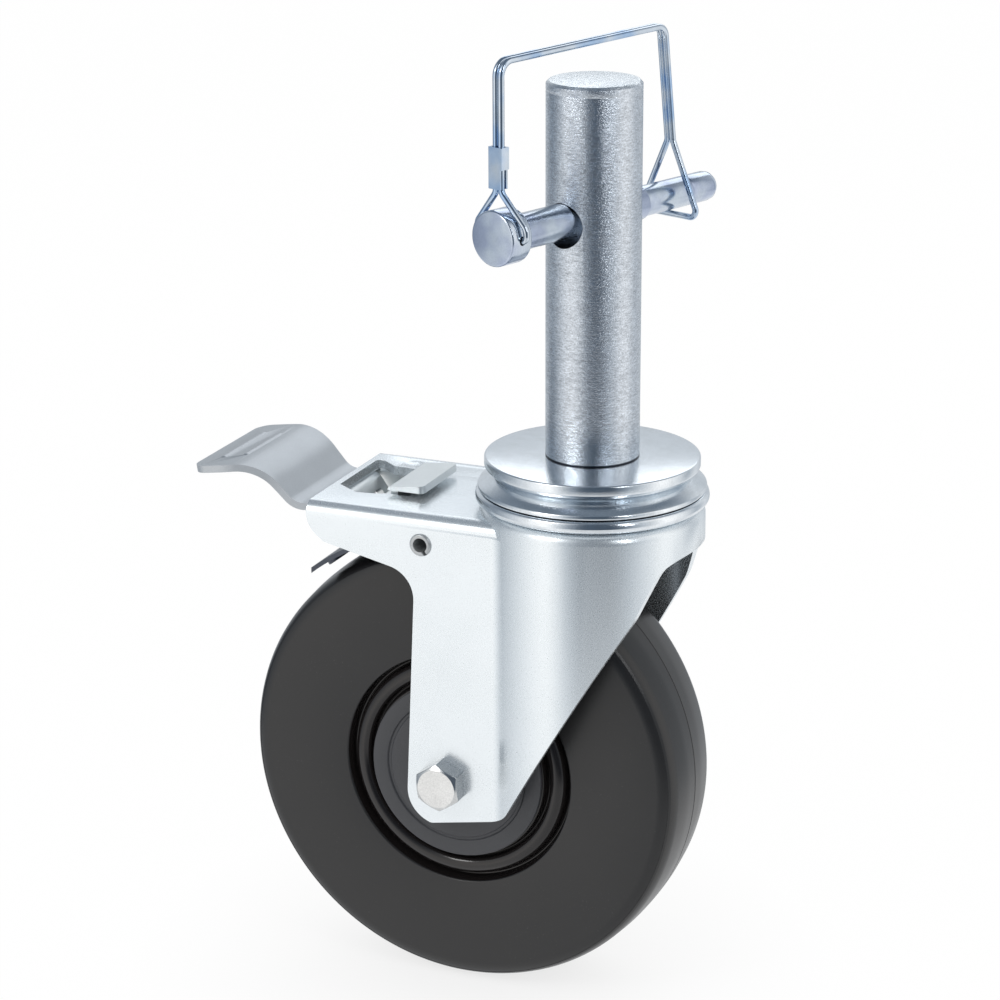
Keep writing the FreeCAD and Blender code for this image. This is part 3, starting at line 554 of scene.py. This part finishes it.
def dressed(name, node_name, width=None, flat=0.4, change=None):
    """A merged copy of a node's mesh, its faces joined where they lie within flat degrees of a plane.

    width is the rounding of its edges, by default the one in the settings, and change shapes it further.
    """
    shape = bmesh.new()
    shape.from_mesh(frame["nodes"][node_name].data)
    bmesh.ops.remove_doubles(shape, verts=shape.verts[:], dist=FRAME_WELD)
    bmesh.ops.dissolve_limit(
        shape, angle_limit=math.radians(flat), verts=shape.verts[:], edges=shape.edges[:]
    )
    if change:
        change(shape)
    piece = finished(name, shape, [node_name])
    if width is None:
        width = settings().edge_round
    if width:
        soften(piece, width)
    return piece


def cut_off(shape, place, outward):
    """Removes what lies outside a plane and closes the cut."""
    cut = bmesh.ops.bisect_plane(
        shape, geom=shape.verts[:] + shape.edges[:] + shape.faces[:], dist=WELD, plane_co=place,
        plane_no=outward, clear_outer=True,
    )
    rim = [item for item in cut["geom_cut"] if isinstance(item, bmesh.types.BMEdge)]
    bmesh.ops.edgenet_fill(shape, edges=rim)
    bmesh.ops.recalc_face_normals(shape, faces=shape.faces[:])


def paint_nodes(names):
    """Gives CAD nodes that stay as they are their finish."""
    for name in names:
        mesh = frame["nodes"][name].data
        mesh.materials.clear()
        mesh.materials.append(material_for(SLOT_OF[name]))


# Pieces

# Stem, in millimetres: the bar, its chamfer and turned line, the king bolt's bore and the cross pin's hole
STEM_R = 20.0
STEM_FOOT = -9.0
CHAMFER_IN = 1.2
CHAMFER_DOWN = 1.3
TURNED_LINE_DEPTH = 0.15
TURNED_LINE_HALF = 0.4
KING_BORE_R = 7.05
KING_BORE_TOP = 28.0
CROSS_HOLE_R = 9.5
CROSS_HOLE_Z = 102.2


class CASTOR_OT_stem(bpy.types.Operator):
    """Makes the stem with its chamfer, turned line and cross hole"""

    bl_idname = "castor.stem"
    bl_label = "Stem"

    def execute(self, context):
        top = STEM_TOP / MM
        line = top - settings().stem_line_drop / MM
        outline = [
            (0, KING_BORE_TOP, 0),
            (KING_BORE_R, KING_BORE_TOP, 0),
            (KING_BORE_R, STEM_FOOT, 0),
            (STEM_R, STEM_FOOT, 0),
            (STEM_R, line - TURNED_LINE_HALF, 0),
            (STEM_R - TURNED_LINE_DEPTH, line, 0),
            (STEM_R, line + TURNED_LINE_HALF, 0),
            (STEM_R, top - CHAMFER_DOWN, 0.2),
            (STEM_R - CHAMFER_IN, top, 0.2),
            (0, top, 0),
        ]
        piece = finished("stem_bar", spun(outline, UPRIGHT, STEM_STEPS), ["stem"])
        hole = Vector((0, 0, CROSS_HOLE_Z)) * MM
        drilled(piece, CROSS_HOLE_R * MM, hole, PIN_WAY, 4 * STEM_R * MM)
        return {"FINISHED"}


# Swivel head, in millimetres: the disc, the pressed cup under it, and the race that the balls run in
HEAD_BORE_R = 20.05
DISC_R = 46.0
DISC_FOOT = -6.0
DISC_UNDERCUT = 1.8
CUP_R = 48.8
CUP_FLAT_R = 40.5
CUP_INSIDE = -9.0
CUP_RIM = -13.8
RACE_R = 50.0
RACE_BORE_R = 30.0
RACE_TOP = -14.4
RACE_FOOT = -21.0
BALL_CIRCLE_R = 37.5


class CASTOR_OT_swivel_head(bpy.types.Operator):
    """Makes the disc, the pressed cup and the rings of the swivel"""

    bl_idname = "castor.swivel_head"
    bl_label = "Swivel head"

    def execute(self, context):
        finished("disc_plate", spun(self.disc_outline(), UPRIGHT, HEAD_STEPS), ["top_disc"])
        finished("cup_pressing", spun(self.cup_outline(), UPRIGHT, HEAD_STEPS), ["head_cup"])
        finished("race_bead", spun(self.race_outline(), UPRIGHT, HEAD_STEPS), ["race_ring"])
        dressed("lower_race_turned", "lower_race", 0)
        dressed("king_bolt_forged", "king_bolt")
        dressed("king_washer_turned", "king_washer")
        paint_nodes(["upper_balls", "king_sleeve", "lower_balls"])
        return {"FINISHED"}

    def disc_outline(self):
        return [
            (HEAD_BORE_R, DISC_FOOT, 0),
            (DISC_R - DISC_UNDERCUT, DISC_FOOT, 0.3),
            (DISC_R, DISC_FOOT + DISC_UNDERCUT, 0.4),
            (DISC_R, 0, 0.9),
            (HEAD_BORE_R, 0, 0),
        ]

    def cup_outline(self):
        return [
            (HEAD_BORE_R, DISC_FOOT, 0),
            (CUP_FLAT_R, DISC_FOOT, 3.0),
            (CUP_R - 1.2, CUP_RIM + 2.6, 1.0),
            (CUP_R, CUP_RIM + 1.5, 0.5),
            (CUP_R, CUP_RIM, 0.4),
            (CUP_R - 3.6, CUP_RIM, 0.3),
            (CUP_FLAT_R - 0.9, CUP_INSIDE, 2.0),
            (HEAD_BORE_R, CUP_INSIDE, 0),
        ]

    def race_outline(self):
        """The beaded ring with a groove for the balls in its top."""
        return [
            (RACE_BORE_R, RACE_FOOT, 0),
            (RACE_R - 6.1, RACE_FOOT, 0),
            (RACE_R - 1.4, RACE_FOOT + 1.2, 1.2),
            (RACE_R, RACE_FOOT + 2.6, 1.0),
            (RACE_R, RACE_TOP - 2.0, 1.2),
            (RACE_R - 0.8, RACE_TOP - 0.4, 0.8),
            (RACE_R - 1.8, RACE_TOP, 0.2),
            (BALL_CIRCLE_R + 4.5, RACE_TOP, 0),
            (BALL_CIRCLE_R + 3.0, RACE_TOP - 1.9, 0.8),
            (BALL_CIRCLE_R, RACE_TOP - 3.0, 1.2),
            (BALL_CIRCLE_R - 3.0, RACE_TOP - 1.9, 0.8),
            (BALL_CIRCLE_R - 4.5, RACE_TOP, 0),
            (RACE_BORE_R, RACE_TOP, 0),
        ]


# Fork, in metres: where the slanted cut of the feet starts and how it climbs, the cut of the heel, the
# legs' front edge from its foot to its top, and the rounding between the slant and that edge
FOOT_START = Vector((-0.0615, 0, -0.1650))
FOOT_CLIMB = math.radians(10.5)
HEEL_CUT = Vector((-0.0593, 0, -0.1644))
HEEL_DROP = math.radians(-1.5)
LEG_FRONT_FOOT = Vector((-0.0290, 0, -0.1650))
LEG_FRONT_TOP = Vector((0.0325, 0, -0.0600))
FOOT_ROUND = 0.0135
FOOT_CUTS = 8


class CASTOR_OT_fork(bpy.types.Operator):
    """Makes the pressed fork with softened cut edges and its legs' feet cut on a slant"""

    bl_idname = "castor.fork"
    bl_label = "Fork"

    def execute(self, context):
        dressed("fork_pressing", "fork", change=self.cut_feet)
        return {"FINISHED"}

    def cut_feet(self, shape):
        """Cuts both legs along a line that climbs to the front, then rounds the corner with tangent cuts."""
        slope = Vector((math.cos(FOOT_CLIMB), 0, math.sin(FOOT_CLIMB)))
        rise = (LEG_FRONT_TOP - LEG_FRONT_FOOT).normalized()
        turn = slope.angle(rise)
        gap = LEG_FRONT_FOOT - FOOT_START
        reach = (gap.x * rise.z - gap.z * rise.x) / (slope.x * rise.z - slope.z * rise.x)
        corner = FOOT_START + slope * reach
        inward = Vector((-slope.z, 0, slope.x))
        centre = corner - slope * FOOT_ROUND * math.tan(turn / 2) + inward * FOOT_ROUND
        cut_off(shape, HEEL_CUT, (math.sin(HEEL_DROP), 0, -math.cos(HEEL_DROP)))
        for step in range(FOOT_CUTS):
            angle = FOOT_CLIMB + turn * step / FOOT_CUTS
            outward = Vector((math.sin(angle), 0, -math.cos(angle)))
            cut_off(shape, centre + outward * FOOT_ROUND, outward)


# Edge roundings in metres, where they differ from the one in the settings
PEDAL_ROUND = 0.0005
ROLL_PIN_ROUND = 0.0003
BOLT_ROUND = 0.0003
NUT_ROUND = 0.0004
CLIP_ROUND = 0.0002


class CASTOR_OT_brake(bpy.types.Operator):
    """Makes the pedal, the brake shoe, its studs and the pin they turn on"""

    bl_idname = "castor.brake"
    bl_label = "Brake"

    def execute(self, context):
        dressed("pedal_pressing", "pedal", PEDAL_ROUND)
        dressed("shoe_pressing", "brake_shoe")
        dressed("shoe_studs", "brake_studs")
        dressed("pivot_roll_pin", "roll_pin", ROLL_PIN_ROUND)
        paint_nodes(["pivot_bushes"])
        return {"FINISHED"}


# Wheel, in millimetres from the axle and from the wheel's middle: the tyre with its flat side and its
# parting line, the moulded centre with a bead between two grooves, and the caps with a ring in them
TYRE_HALF = 25.0
TREAD_EDGE_R = 100.0
TREAD_R = 101.45
PARTING_R = 101.1
CORE_R = 53.0
HUB_BORE_R = 14.0
BEARING_R = 17.5
BEARING_SEAT = 13.7
HUB_FACE = 24.8
BEAD_FACE = 24.7
CAP_R = 40.0
CAP_FACE = 27.0
CAP_BORE_R = 11.6
CAP_RING_R = 32.0
CAP_RECESS = 26.3


class CASTOR_OT_wheel(bpy.types.Operator):
    """Makes the rubber tyre, the moulded centre and the caps"""

    bl_idname = "castor.wheel"
    bl_label = "Wheel"

    def execute(self, context):
        finished("tyre_rubber", spun(self.tyre_outline(), FAR_SIDE, TYRE_STEPS), ["tyre"])
        finished("core_moulding", spun(self.core_outline(), FAR_SIDE, HEAD_STEPS), ["wheel_core"])
        finished("near_cap_moulding", spun(self.cap_outline(), NEAR_SIDE, CAP_STEPS), ["near_hub_cap"])
        finished("far_cap_moulding", spun(self.cap_outline(), FAR_SIDE, CAP_STEPS), ["far_hub_cap"])
        rings = ["near_inner_ring", "far_inner_ring", "near_outer_ring", "far_outer_ring"]
        paint_nodes(rings + ["near_bearing_balls", "far_bearing_balls"])
        return {"FINISHED"}

    def tyre_outline(self):
        half = [
            (CORE_R, -TYRE_HALF, 0.8),
            (TREAD_EDGE_R - 4, -TYRE_HALF, 3.4),
            (TREAD_EDGE_R, -TYRE_HALF + 4, 3.4),
            (TREAD_R - 0.15, -8, 2.0),
            (TREAD_R, -0.5, 0),
        ]
        return half + [(PARTING_R, 0, 0)] + mirrored(half)

    def core_outline(self):
        half = [
            (HUB_BORE_R, BEARING_SEAT, 0),
            (BEARING_R, BEARING_SEAT, 0),
            (BEARING_R, HUB_FACE, 0),
            (CAP_R + 0.6, HUB_FACE, 0.3),
            (CAP_R + 1.2, 20.5, 0.5),
            (CAP_R + 2.2, 20, 0.4),
            (CAP_R + 3.2, BEAD_FACE, 2.4),
            (CORE_R - 3.6, BEAD_FACE, 3.2),
            (CORE_R - 1.8, 18.6, 0.8),
            (CORE_R - 0.8, 19.4, 0.5),
            (CORE_R, TYRE_HALF - 0.6, 0.4),
        ]
        return half + mirrored(half)

    def cap_outline(self):
        return [
            (CAP_BORE_R, HUB_FACE, 0),
            (CAP_R, HUB_FACE, 0.2),
            (CAP_R, CAP_FACE, 0.6),
            (CAP_RING_R + 1, CAP_FACE, 0.3),
            (CAP_RING_R + 0.5, CAP_RECESS, 0.2),
            (CAP_RING_R - 0.5, CAP_RECESS, 0.2),
            (CAP_RING_R - 1, CAP_FACE, 0.3),
            (CAP_BORE_R + 5, CAP_FACE, 0.4),
            (CAP_BORE_R + 4, CAP_RECESS, 0.2),
            (CAP_BORE_R, CAP_RECESS, 0.3),
        ]


# Axle bolt: how far it is turned, the radius in metres of its head's round face, and the chamfer there
BOLT_TURN = math.radians(30)
HEAD_FACE_R = 0.0086
CHAMFER_SLANT = math.radians(34)
CHAMFER_CUTS = 36


class CASTOR_OT_axle(bpy.types.Operator):
    """Makes the axle bolt, its washer and its nut"""

    bl_idname = "castor.axle"
    bl_label = "Axle"

    def execute(self, context):
        dressed("axle_bolt_forged", "axle_bolt", BOLT_ROUND, change=self.finish_head)
        dressed("axle_washer_turned", "axle_washer")
        dressed("axle_nut_forged", "axle_nut", NUT_ROUND)
        paint_nodes(["axle_sleeve", "bearing_spacer", "near_spacer", "far_spacer"])
        return {"FINISHED"}

    def finish_head(self, shape):
        """Turns the bolt until a corner of its head points up, and chamfers the corners of its face."""
        turn = Matrix.Rotation(BOLT_TURN, 3, "Y")
        bmesh.ops.rotate(shape, cent=AXLE, matrix=turn, verts=shape.verts[:])
        face = Vector((AXLE.x, min(vert.co.y for vert in shape.verts), AXLE.z))
        towards_face = Vector((0, math.cos(CHAMFER_SLANT), 0))
        for step in range(CHAMFER_CUTS):
            angle = math.tau * step / CHAMFER_CUTS
            out = Vector((math.cos(angle), 0, math.sin(angle)))
            cut_off(shape, face + out * HEAD_FACE_R, out * math.sin(CHAMFER_SLANT) - towards_face)


# Cross pin, in millimetres along it from the stem's axis: the head, the shank, and the nose with a line
PIN_HEAD_R = 11.5
PIN_HEAD_BACK = -50.0
PIN_HEAD_L = 11.5
PIN_R = 7.5
PIN_STEP = 28.0
NOSE_R = 6.5
NOSE_LINE = 57.6
PIN_TIP = 75.5
WIRE_HOLE_R = 1.9


class CASTOR_OT_lock_pin(bpy.types.Operator):
    """Makes the cross pin with its drilled head"""

    bl_idname = "castor.lock_pin"
    bl_label = "Lock pin"

    def execute(self, context):
        outline = [
            (0, PIN_HEAD_BACK - PIN_HEAD_L, 0),
            (PIN_HEAD_R, PIN_HEAD_BACK - PIN_HEAD_L, 0.9),
            (PIN_HEAD_R, PIN_HEAD_BACK, 0.9),
            (PIN_R, PIN_HEAD_BACK, 0.4),
            (PIN_R, PIN_STEP, 0.9),
            (NOSE_R, PIN_STEP, 0),
            (NOSE_R, NOSE_LINE - 0.6, 0.1),
            (NOSE_R - 0.3, NOSE_LINE, 0.1),
            (NOSE_R - 0.05, NOSE_LINE + 0.6, 0.1),
            (NOSE_R - 0.05, PIN_TIP, 4.9),
            (0, PIN_TIP, 0),
        ]
        place = turned_to(PIN_WAY, (0, 0, PIN_HINGE.z))
        piece = finished("cross_pin", spun(outline, place, PIN_STEPS), ["lock_pin"])
        drilled(piece, WIRE_HOLE_R * MM, PIN_HINGE, ACROSS, 5 * PIN_HEAD_R * MM)
        return {"FINISHED"}


class CASTOR_OT_bail(bpy.types.Operator):
    """Makes the doubled wire bail and its folded clip"""

    bl_idname = "castor.bail"
    bl_label = "Bail"

    def execute(self, context):
        dressed("bail_bent_wire", "bail_wire", width=0, flat=0.05)
        dressed("bail_clip", "bail_ferrule", CLIP_ROUND)
        return {"FINISHED"}


# Studio

CAMERA_PLACE = (0.45, -1.1574, 0.3907)
CAMERA_AZIMUTH = math.radians(23.06)
CAMERA_PITCH = math.radians(18.336)
CAMERA_ROLL = math.radians(-0.241)
CAMERA_LENS = 110.38

# Lamps: name, place, width and height, and power in watts
LAMPS = (
    ("Key light", (-0.7, -1.2, 0.9), (0.45, 0.45), 4.0),
    ("Fill light", (1.1, -0.75, 0.75), (0.15, 0.8), 2.2),
    ("Back light", (-0.3, 1.3, 0.9), (1.2, 0.7), 3.0),
)
LAMP_TARGET = (-0.02, 0.0, -0.04)

# Floor: its radius, and how it brightens to white from one distance to another round the axle
FLOOR_R = 4.0
SHADOW_REACH = (0.02, 0.16)
FLOOR_GLOW = (0.76, 0.985)

# Studio light seen in reflections: angles from the camera's side, in degrees, and brightness
STUDIO_PANELS = (
    (-150, 0.7), (-128, 0.3), (-108, 0.34), (-86, 0.7), (-66, 1.05), (-47, 1.3), (-36, 0.85),
    (-26, 0.45), (-12, 0.12), (20, 0.1), (34, 0.36), (52, 0.72), (75, 1.2), (98, 0.95),
    (118, 0.5), (136, 0.85), (152, 0.65),
)
BACKDROP_LIGHT = 0.66
CEILING_LIGHT = 0.22
TABLE_LIGHT = 1.0

# Heights of the view's direction between which the ceiling and the table take over from the panels,
# how far the ceiling leans, and how much of the table shows
CEILING_EDGE = (0.62, 0.87)
CEILING_LEAN = 0.3
TABLE_EDGE = (-0.30, -0.42)
TABLE_SHARE = 0.75

# Soft light on everything that isn't a reflection, from below to above
DOME_EDGE = (-0.2, 0.9)
DOME_LIGHT = (0.5, 0.92)

# How fast red, green and blue fall as a panel darkens, which leaves dark panels bluish
TONE_FALL = (1.2, 1.06, 0.92)
WHITE = (1.0, 1.0, 1.0, 1.0)


def studio_tone(light):
    """The tone of a studio panel: white where it is bright, and bluer as it darkens."""
    return opaque([light ** fall for fall in TONE_FALL])


def camera_matrix():
    """Looks along the azimuth, pitched down, with a slight roll."""
    flat = math.cos(CAMERA_PITCH)
    right = Vector((math.cos(CAMERA_AZIMUTH), math.sin(CAMERA_AZIMUTH), 0))
    ahead = Vector((-right.y * flat, right.x * flat, -math.sin(CAMERA_PITCH)))
    up = right.cross(ahead)
    across = right * math.cos(CAMERA_ROLL) + up * math.sin(CAMERA_ROLL)
    over = up * math.cos(CAMERA_ROLL) - right * math.sin(CAMERA_ROLL)
    turn = Matrix((across, over, -ahead)).transposed().to_4x4()
    return Matrix.Translation(Vector(CAMERA_PLACE)) @ turn


def area_light(name, place, size, power):
    data = bpy.data.lights.new(name, "AREA")
    data.shape = "RECTANGLE"
    data.size = size[0]
    data.size_y = size[1]
    data.energy = power
    lamp = bpy.data.objects.new(name, data)
    bpy.context.scene.collection.objects.link(lamp)
    way = Vector(LAMP_TARGET) - Vector(place)
    lamp.matrix_world = Matrix.Translation(Vector(place)) @ way.to_track_quat("-Z", "Y").to_matrix().to_4x4()


class CASTOR_OT_stage(bpy.types.Operator):
    """Makes the floor, the lights and the camera"""

    bl_idname = "castor.stage"
    bl_label = "Stage"

    def execute(self, context):
        self.make_floor()
        self.make_world()
        for name, place, size, power in LAMPS:
            area_light(name, place, size, power)
        camera = bpy.data.objects.new("Photo camera", bpy.data.cameras.new("Photo camera"))
        bpy.context.scene.collection.objects.link(camera)
        camera.data.lens = CAMERA_LENS
        camera.data.clip_start = 0.05
        camera.matrix_world = camera_matrix()
        bpy.context.scene.camera = camera
        bpy.context.scene.view_settings.view_transform = "Standard"
        return {"FINISHED"}

    def make_floor(self):
        shape = bmesh.new()
        bmesh.ops.create_circle(shape, cap_ends=True, segments=96, radius=FLOOR_R)
        mesh = bpy.data.meshes.new("floor")
        shape.to_mesh(mesh)
        shape.free()
        floor = bpy.data.objects.new("floor", mesh)
        floor.location = (0, 0, FLOOR_Z)
        bpy.context.scene.collection.objects.link(floor)
        floor.visible_glossy = False
        mesh.materials.append(self.floor_paper())

    def floor_paper(self):
        """White paper that keeps the shadow near the wheel and melts into the background further out."""
        material, tree, shader, place = new_material("Floor paper")
        shader.inputs["Base Color"].default_value = opaque(settings().floor_colour)
        shader.inputs["Roughness"].default_value = 0.9
        add_bump(tree, shader, noise(tree, place, 800.0), 0.05, 0.0005)
        rays = node(tree, "ShaderNodeLightPath").outputs
        seen = maths(tree, "MAXIMUM", rays["Is Camera Ray"], rays["Is Glossy Ray"])
        seen = maths(tree, "MAXIMUM", seen, rays["Is Transmission Ray"])
        foot = node(tree, "ShaderNodeVectorMath", {0: place, 1: (AXLE.x, AXLE.y, 0)}, operation="DISTANCE")
        share = remap(tree, foot.outputs["Value"], *SHADOW_REACH, *FLOOR_GLOW)
        glow = node(tree, "ShaderNodeEmission", {"Color": WHITE, "Strength": 1.0})
        weight = maths(tree, "MULTIPLY", seen, share)
        mix = node(tree, "ShaderNodeMixShader", {0: weight, 1: shader.outputs[0], 2: glow.outputs[0]})
        tree.links.new(mix.outputs[0], tree.nodes["Material Output"].inputs["Surface"])
        return material

    def make_world(self):
        """Reflections see a ring of light and dark panels, and everything else an even soft light."""
        world = bpy.data.worlds.new("Studio")
        world.use_nodes = True
        bpy.context.scene.world = world
        tree = world.node_tree
        way = node(tree, "ShaderNodeTexCoord").outputs["Generated"]
        facing = (0, 0, math.pi / 2 - CAMERA_AZIMUTH)
        turned = node(tree, "ShaderNodeMapping", {"Vector": way, "Rotation": facing}).outputs[0]
        parts = node(tree, "ShaderNodeSeparateXYZ", {0: turned}).outputs
        height = parts["Z"]
        lean = maths(tree, "MULTIPLY", parts["X"], CEILING_LEAN)
        over = remap(tree, maths(tree, "SUBTRACT", height, lean), *CEILING_EDGE)
        under = remap(tree, height, *TABLE_EDGE, 0.0, TABLE_SHARE)
        panels = blend_colours(tree, over, self.ring_of_panels(tree, turned), studio_tone(CEILING_LIGHT))
        panels = blend_colours(tree, under, panels, studio_tone(TABLE_LIGHT))
        dome = remap(tree, height, *DOME_EDGE, *DOME_LIGHT)
        soft = node(tree, "ShaderNodeBackground", {"Color": WHITE, "Strength": dome}).outputs[0]
        shiny = node(tree, "ShaderNodeBackground", {"Color": panels, "Strength": 1.0}).outputs[0]
        white = node(tree, "ShaderNodeBackground", {"Color": WHITE, "Strength": 1.0}).outputs[0]
        rays = node(tree, "ShaderNodeLightPath").outputs
        seen = maths(tree, "MAXIMUM", rays["Is Camera Ray"], rays["Is Transmission Ray"])
        lit = node(tree, "ShaderNodeMixShader", {0: rays["Is Glossy Ray"], 1: soft, 2: shiny})
        mix = node(tree, "ShaderNodeMixShader", {0: seen, 1: lit.outputs[0], 2: white})
        tree.links.new(mix.outputs[0], tree.nodes["World Output"].inputs["Surface"])

    def ring_of_panels(self, tree, way):
        """Brightness by compass angle, measured from the camera's side and growing to its right."""
        around = node(tree, "ShaderNodeTexGradient", {"Vector": way}, gradient_type="RADIAL")
        ramp = node(tree, "ShaderNodeValToRGB", {"Fac": around.outputs["Fac"]})
        stops = ramp.color_ramp.elements
        stops[0].color = studio_tone(BACKDROP_LIGHT)
        stops[1].color = studio_tone(BACKDROP_LIGHT)
        for angle, light in STUDIO_PANELS:
            stops.new(0.5 + angle / 360).color = studio_tone(light)
        return ramp.outputs["Color"]


PIECE_OPERATORS = (
    CASTOR_OT_stem,
    CASTOR_OT_swivel_head,
    CASTOR_OT_fork,
    CASTOR_OT_brake,
    CASTOR_OT_wheel,
    CASTOR_OT_axle,
    CASTOR_OT_lock_pin,
    CASTOR_OT_bail,
    CASTOR_OT_stage,
)


class CASTOR_PT_panel(bpy.types.Panel):
    """Lists the pieces of the castor"""

    bl_idname = "CASTOR_PT_panel"
    bl_label = "Scaffold Castor"
    bl_space_type = "VIEW_3D"
    bl_region_type = "UI"
    bl_category = "Castor"

    def draw(self, context):
        values = context.scene.castor
        for name in values.bl_rna.properties.keys():
            if name not in ("rna_type", "name"):
                self.layout.prop(values, name)
        for operator in PIECE_OPERATORS:
            self.layout.operator(operator.bl_idname)


CLASSES = (CastorSettings,) + PIECE_OPERATORS + (CASTOR_PT_panel,)


def register():
    for cls in CLASSES:
        bpy.utils.register_class(cls)
    bpy.types.Scene.castor = bpy.props.PointerProperty(type=CastorSettings)


def unregister():
    del bpy.types.Scene.castor
    for cls in reversed(CLASSES):
        bpy.utils.unregister_class(cls)


def main():
    register()
    bpy.ops.castor.stem()
    bpy.ops.castor.swivel_head()
    bpy.ops.castor.fork()
    bpy.ops.castor.brake()
    bpy.ops.castor.wheel()
    bpy.ops.castor.axle()
    bpy.ops.castor.lock_pin()
    bpy.ops.castor.bail()
    bpy.ops.castor.stage()


if __name__ == "__main__":
    main()
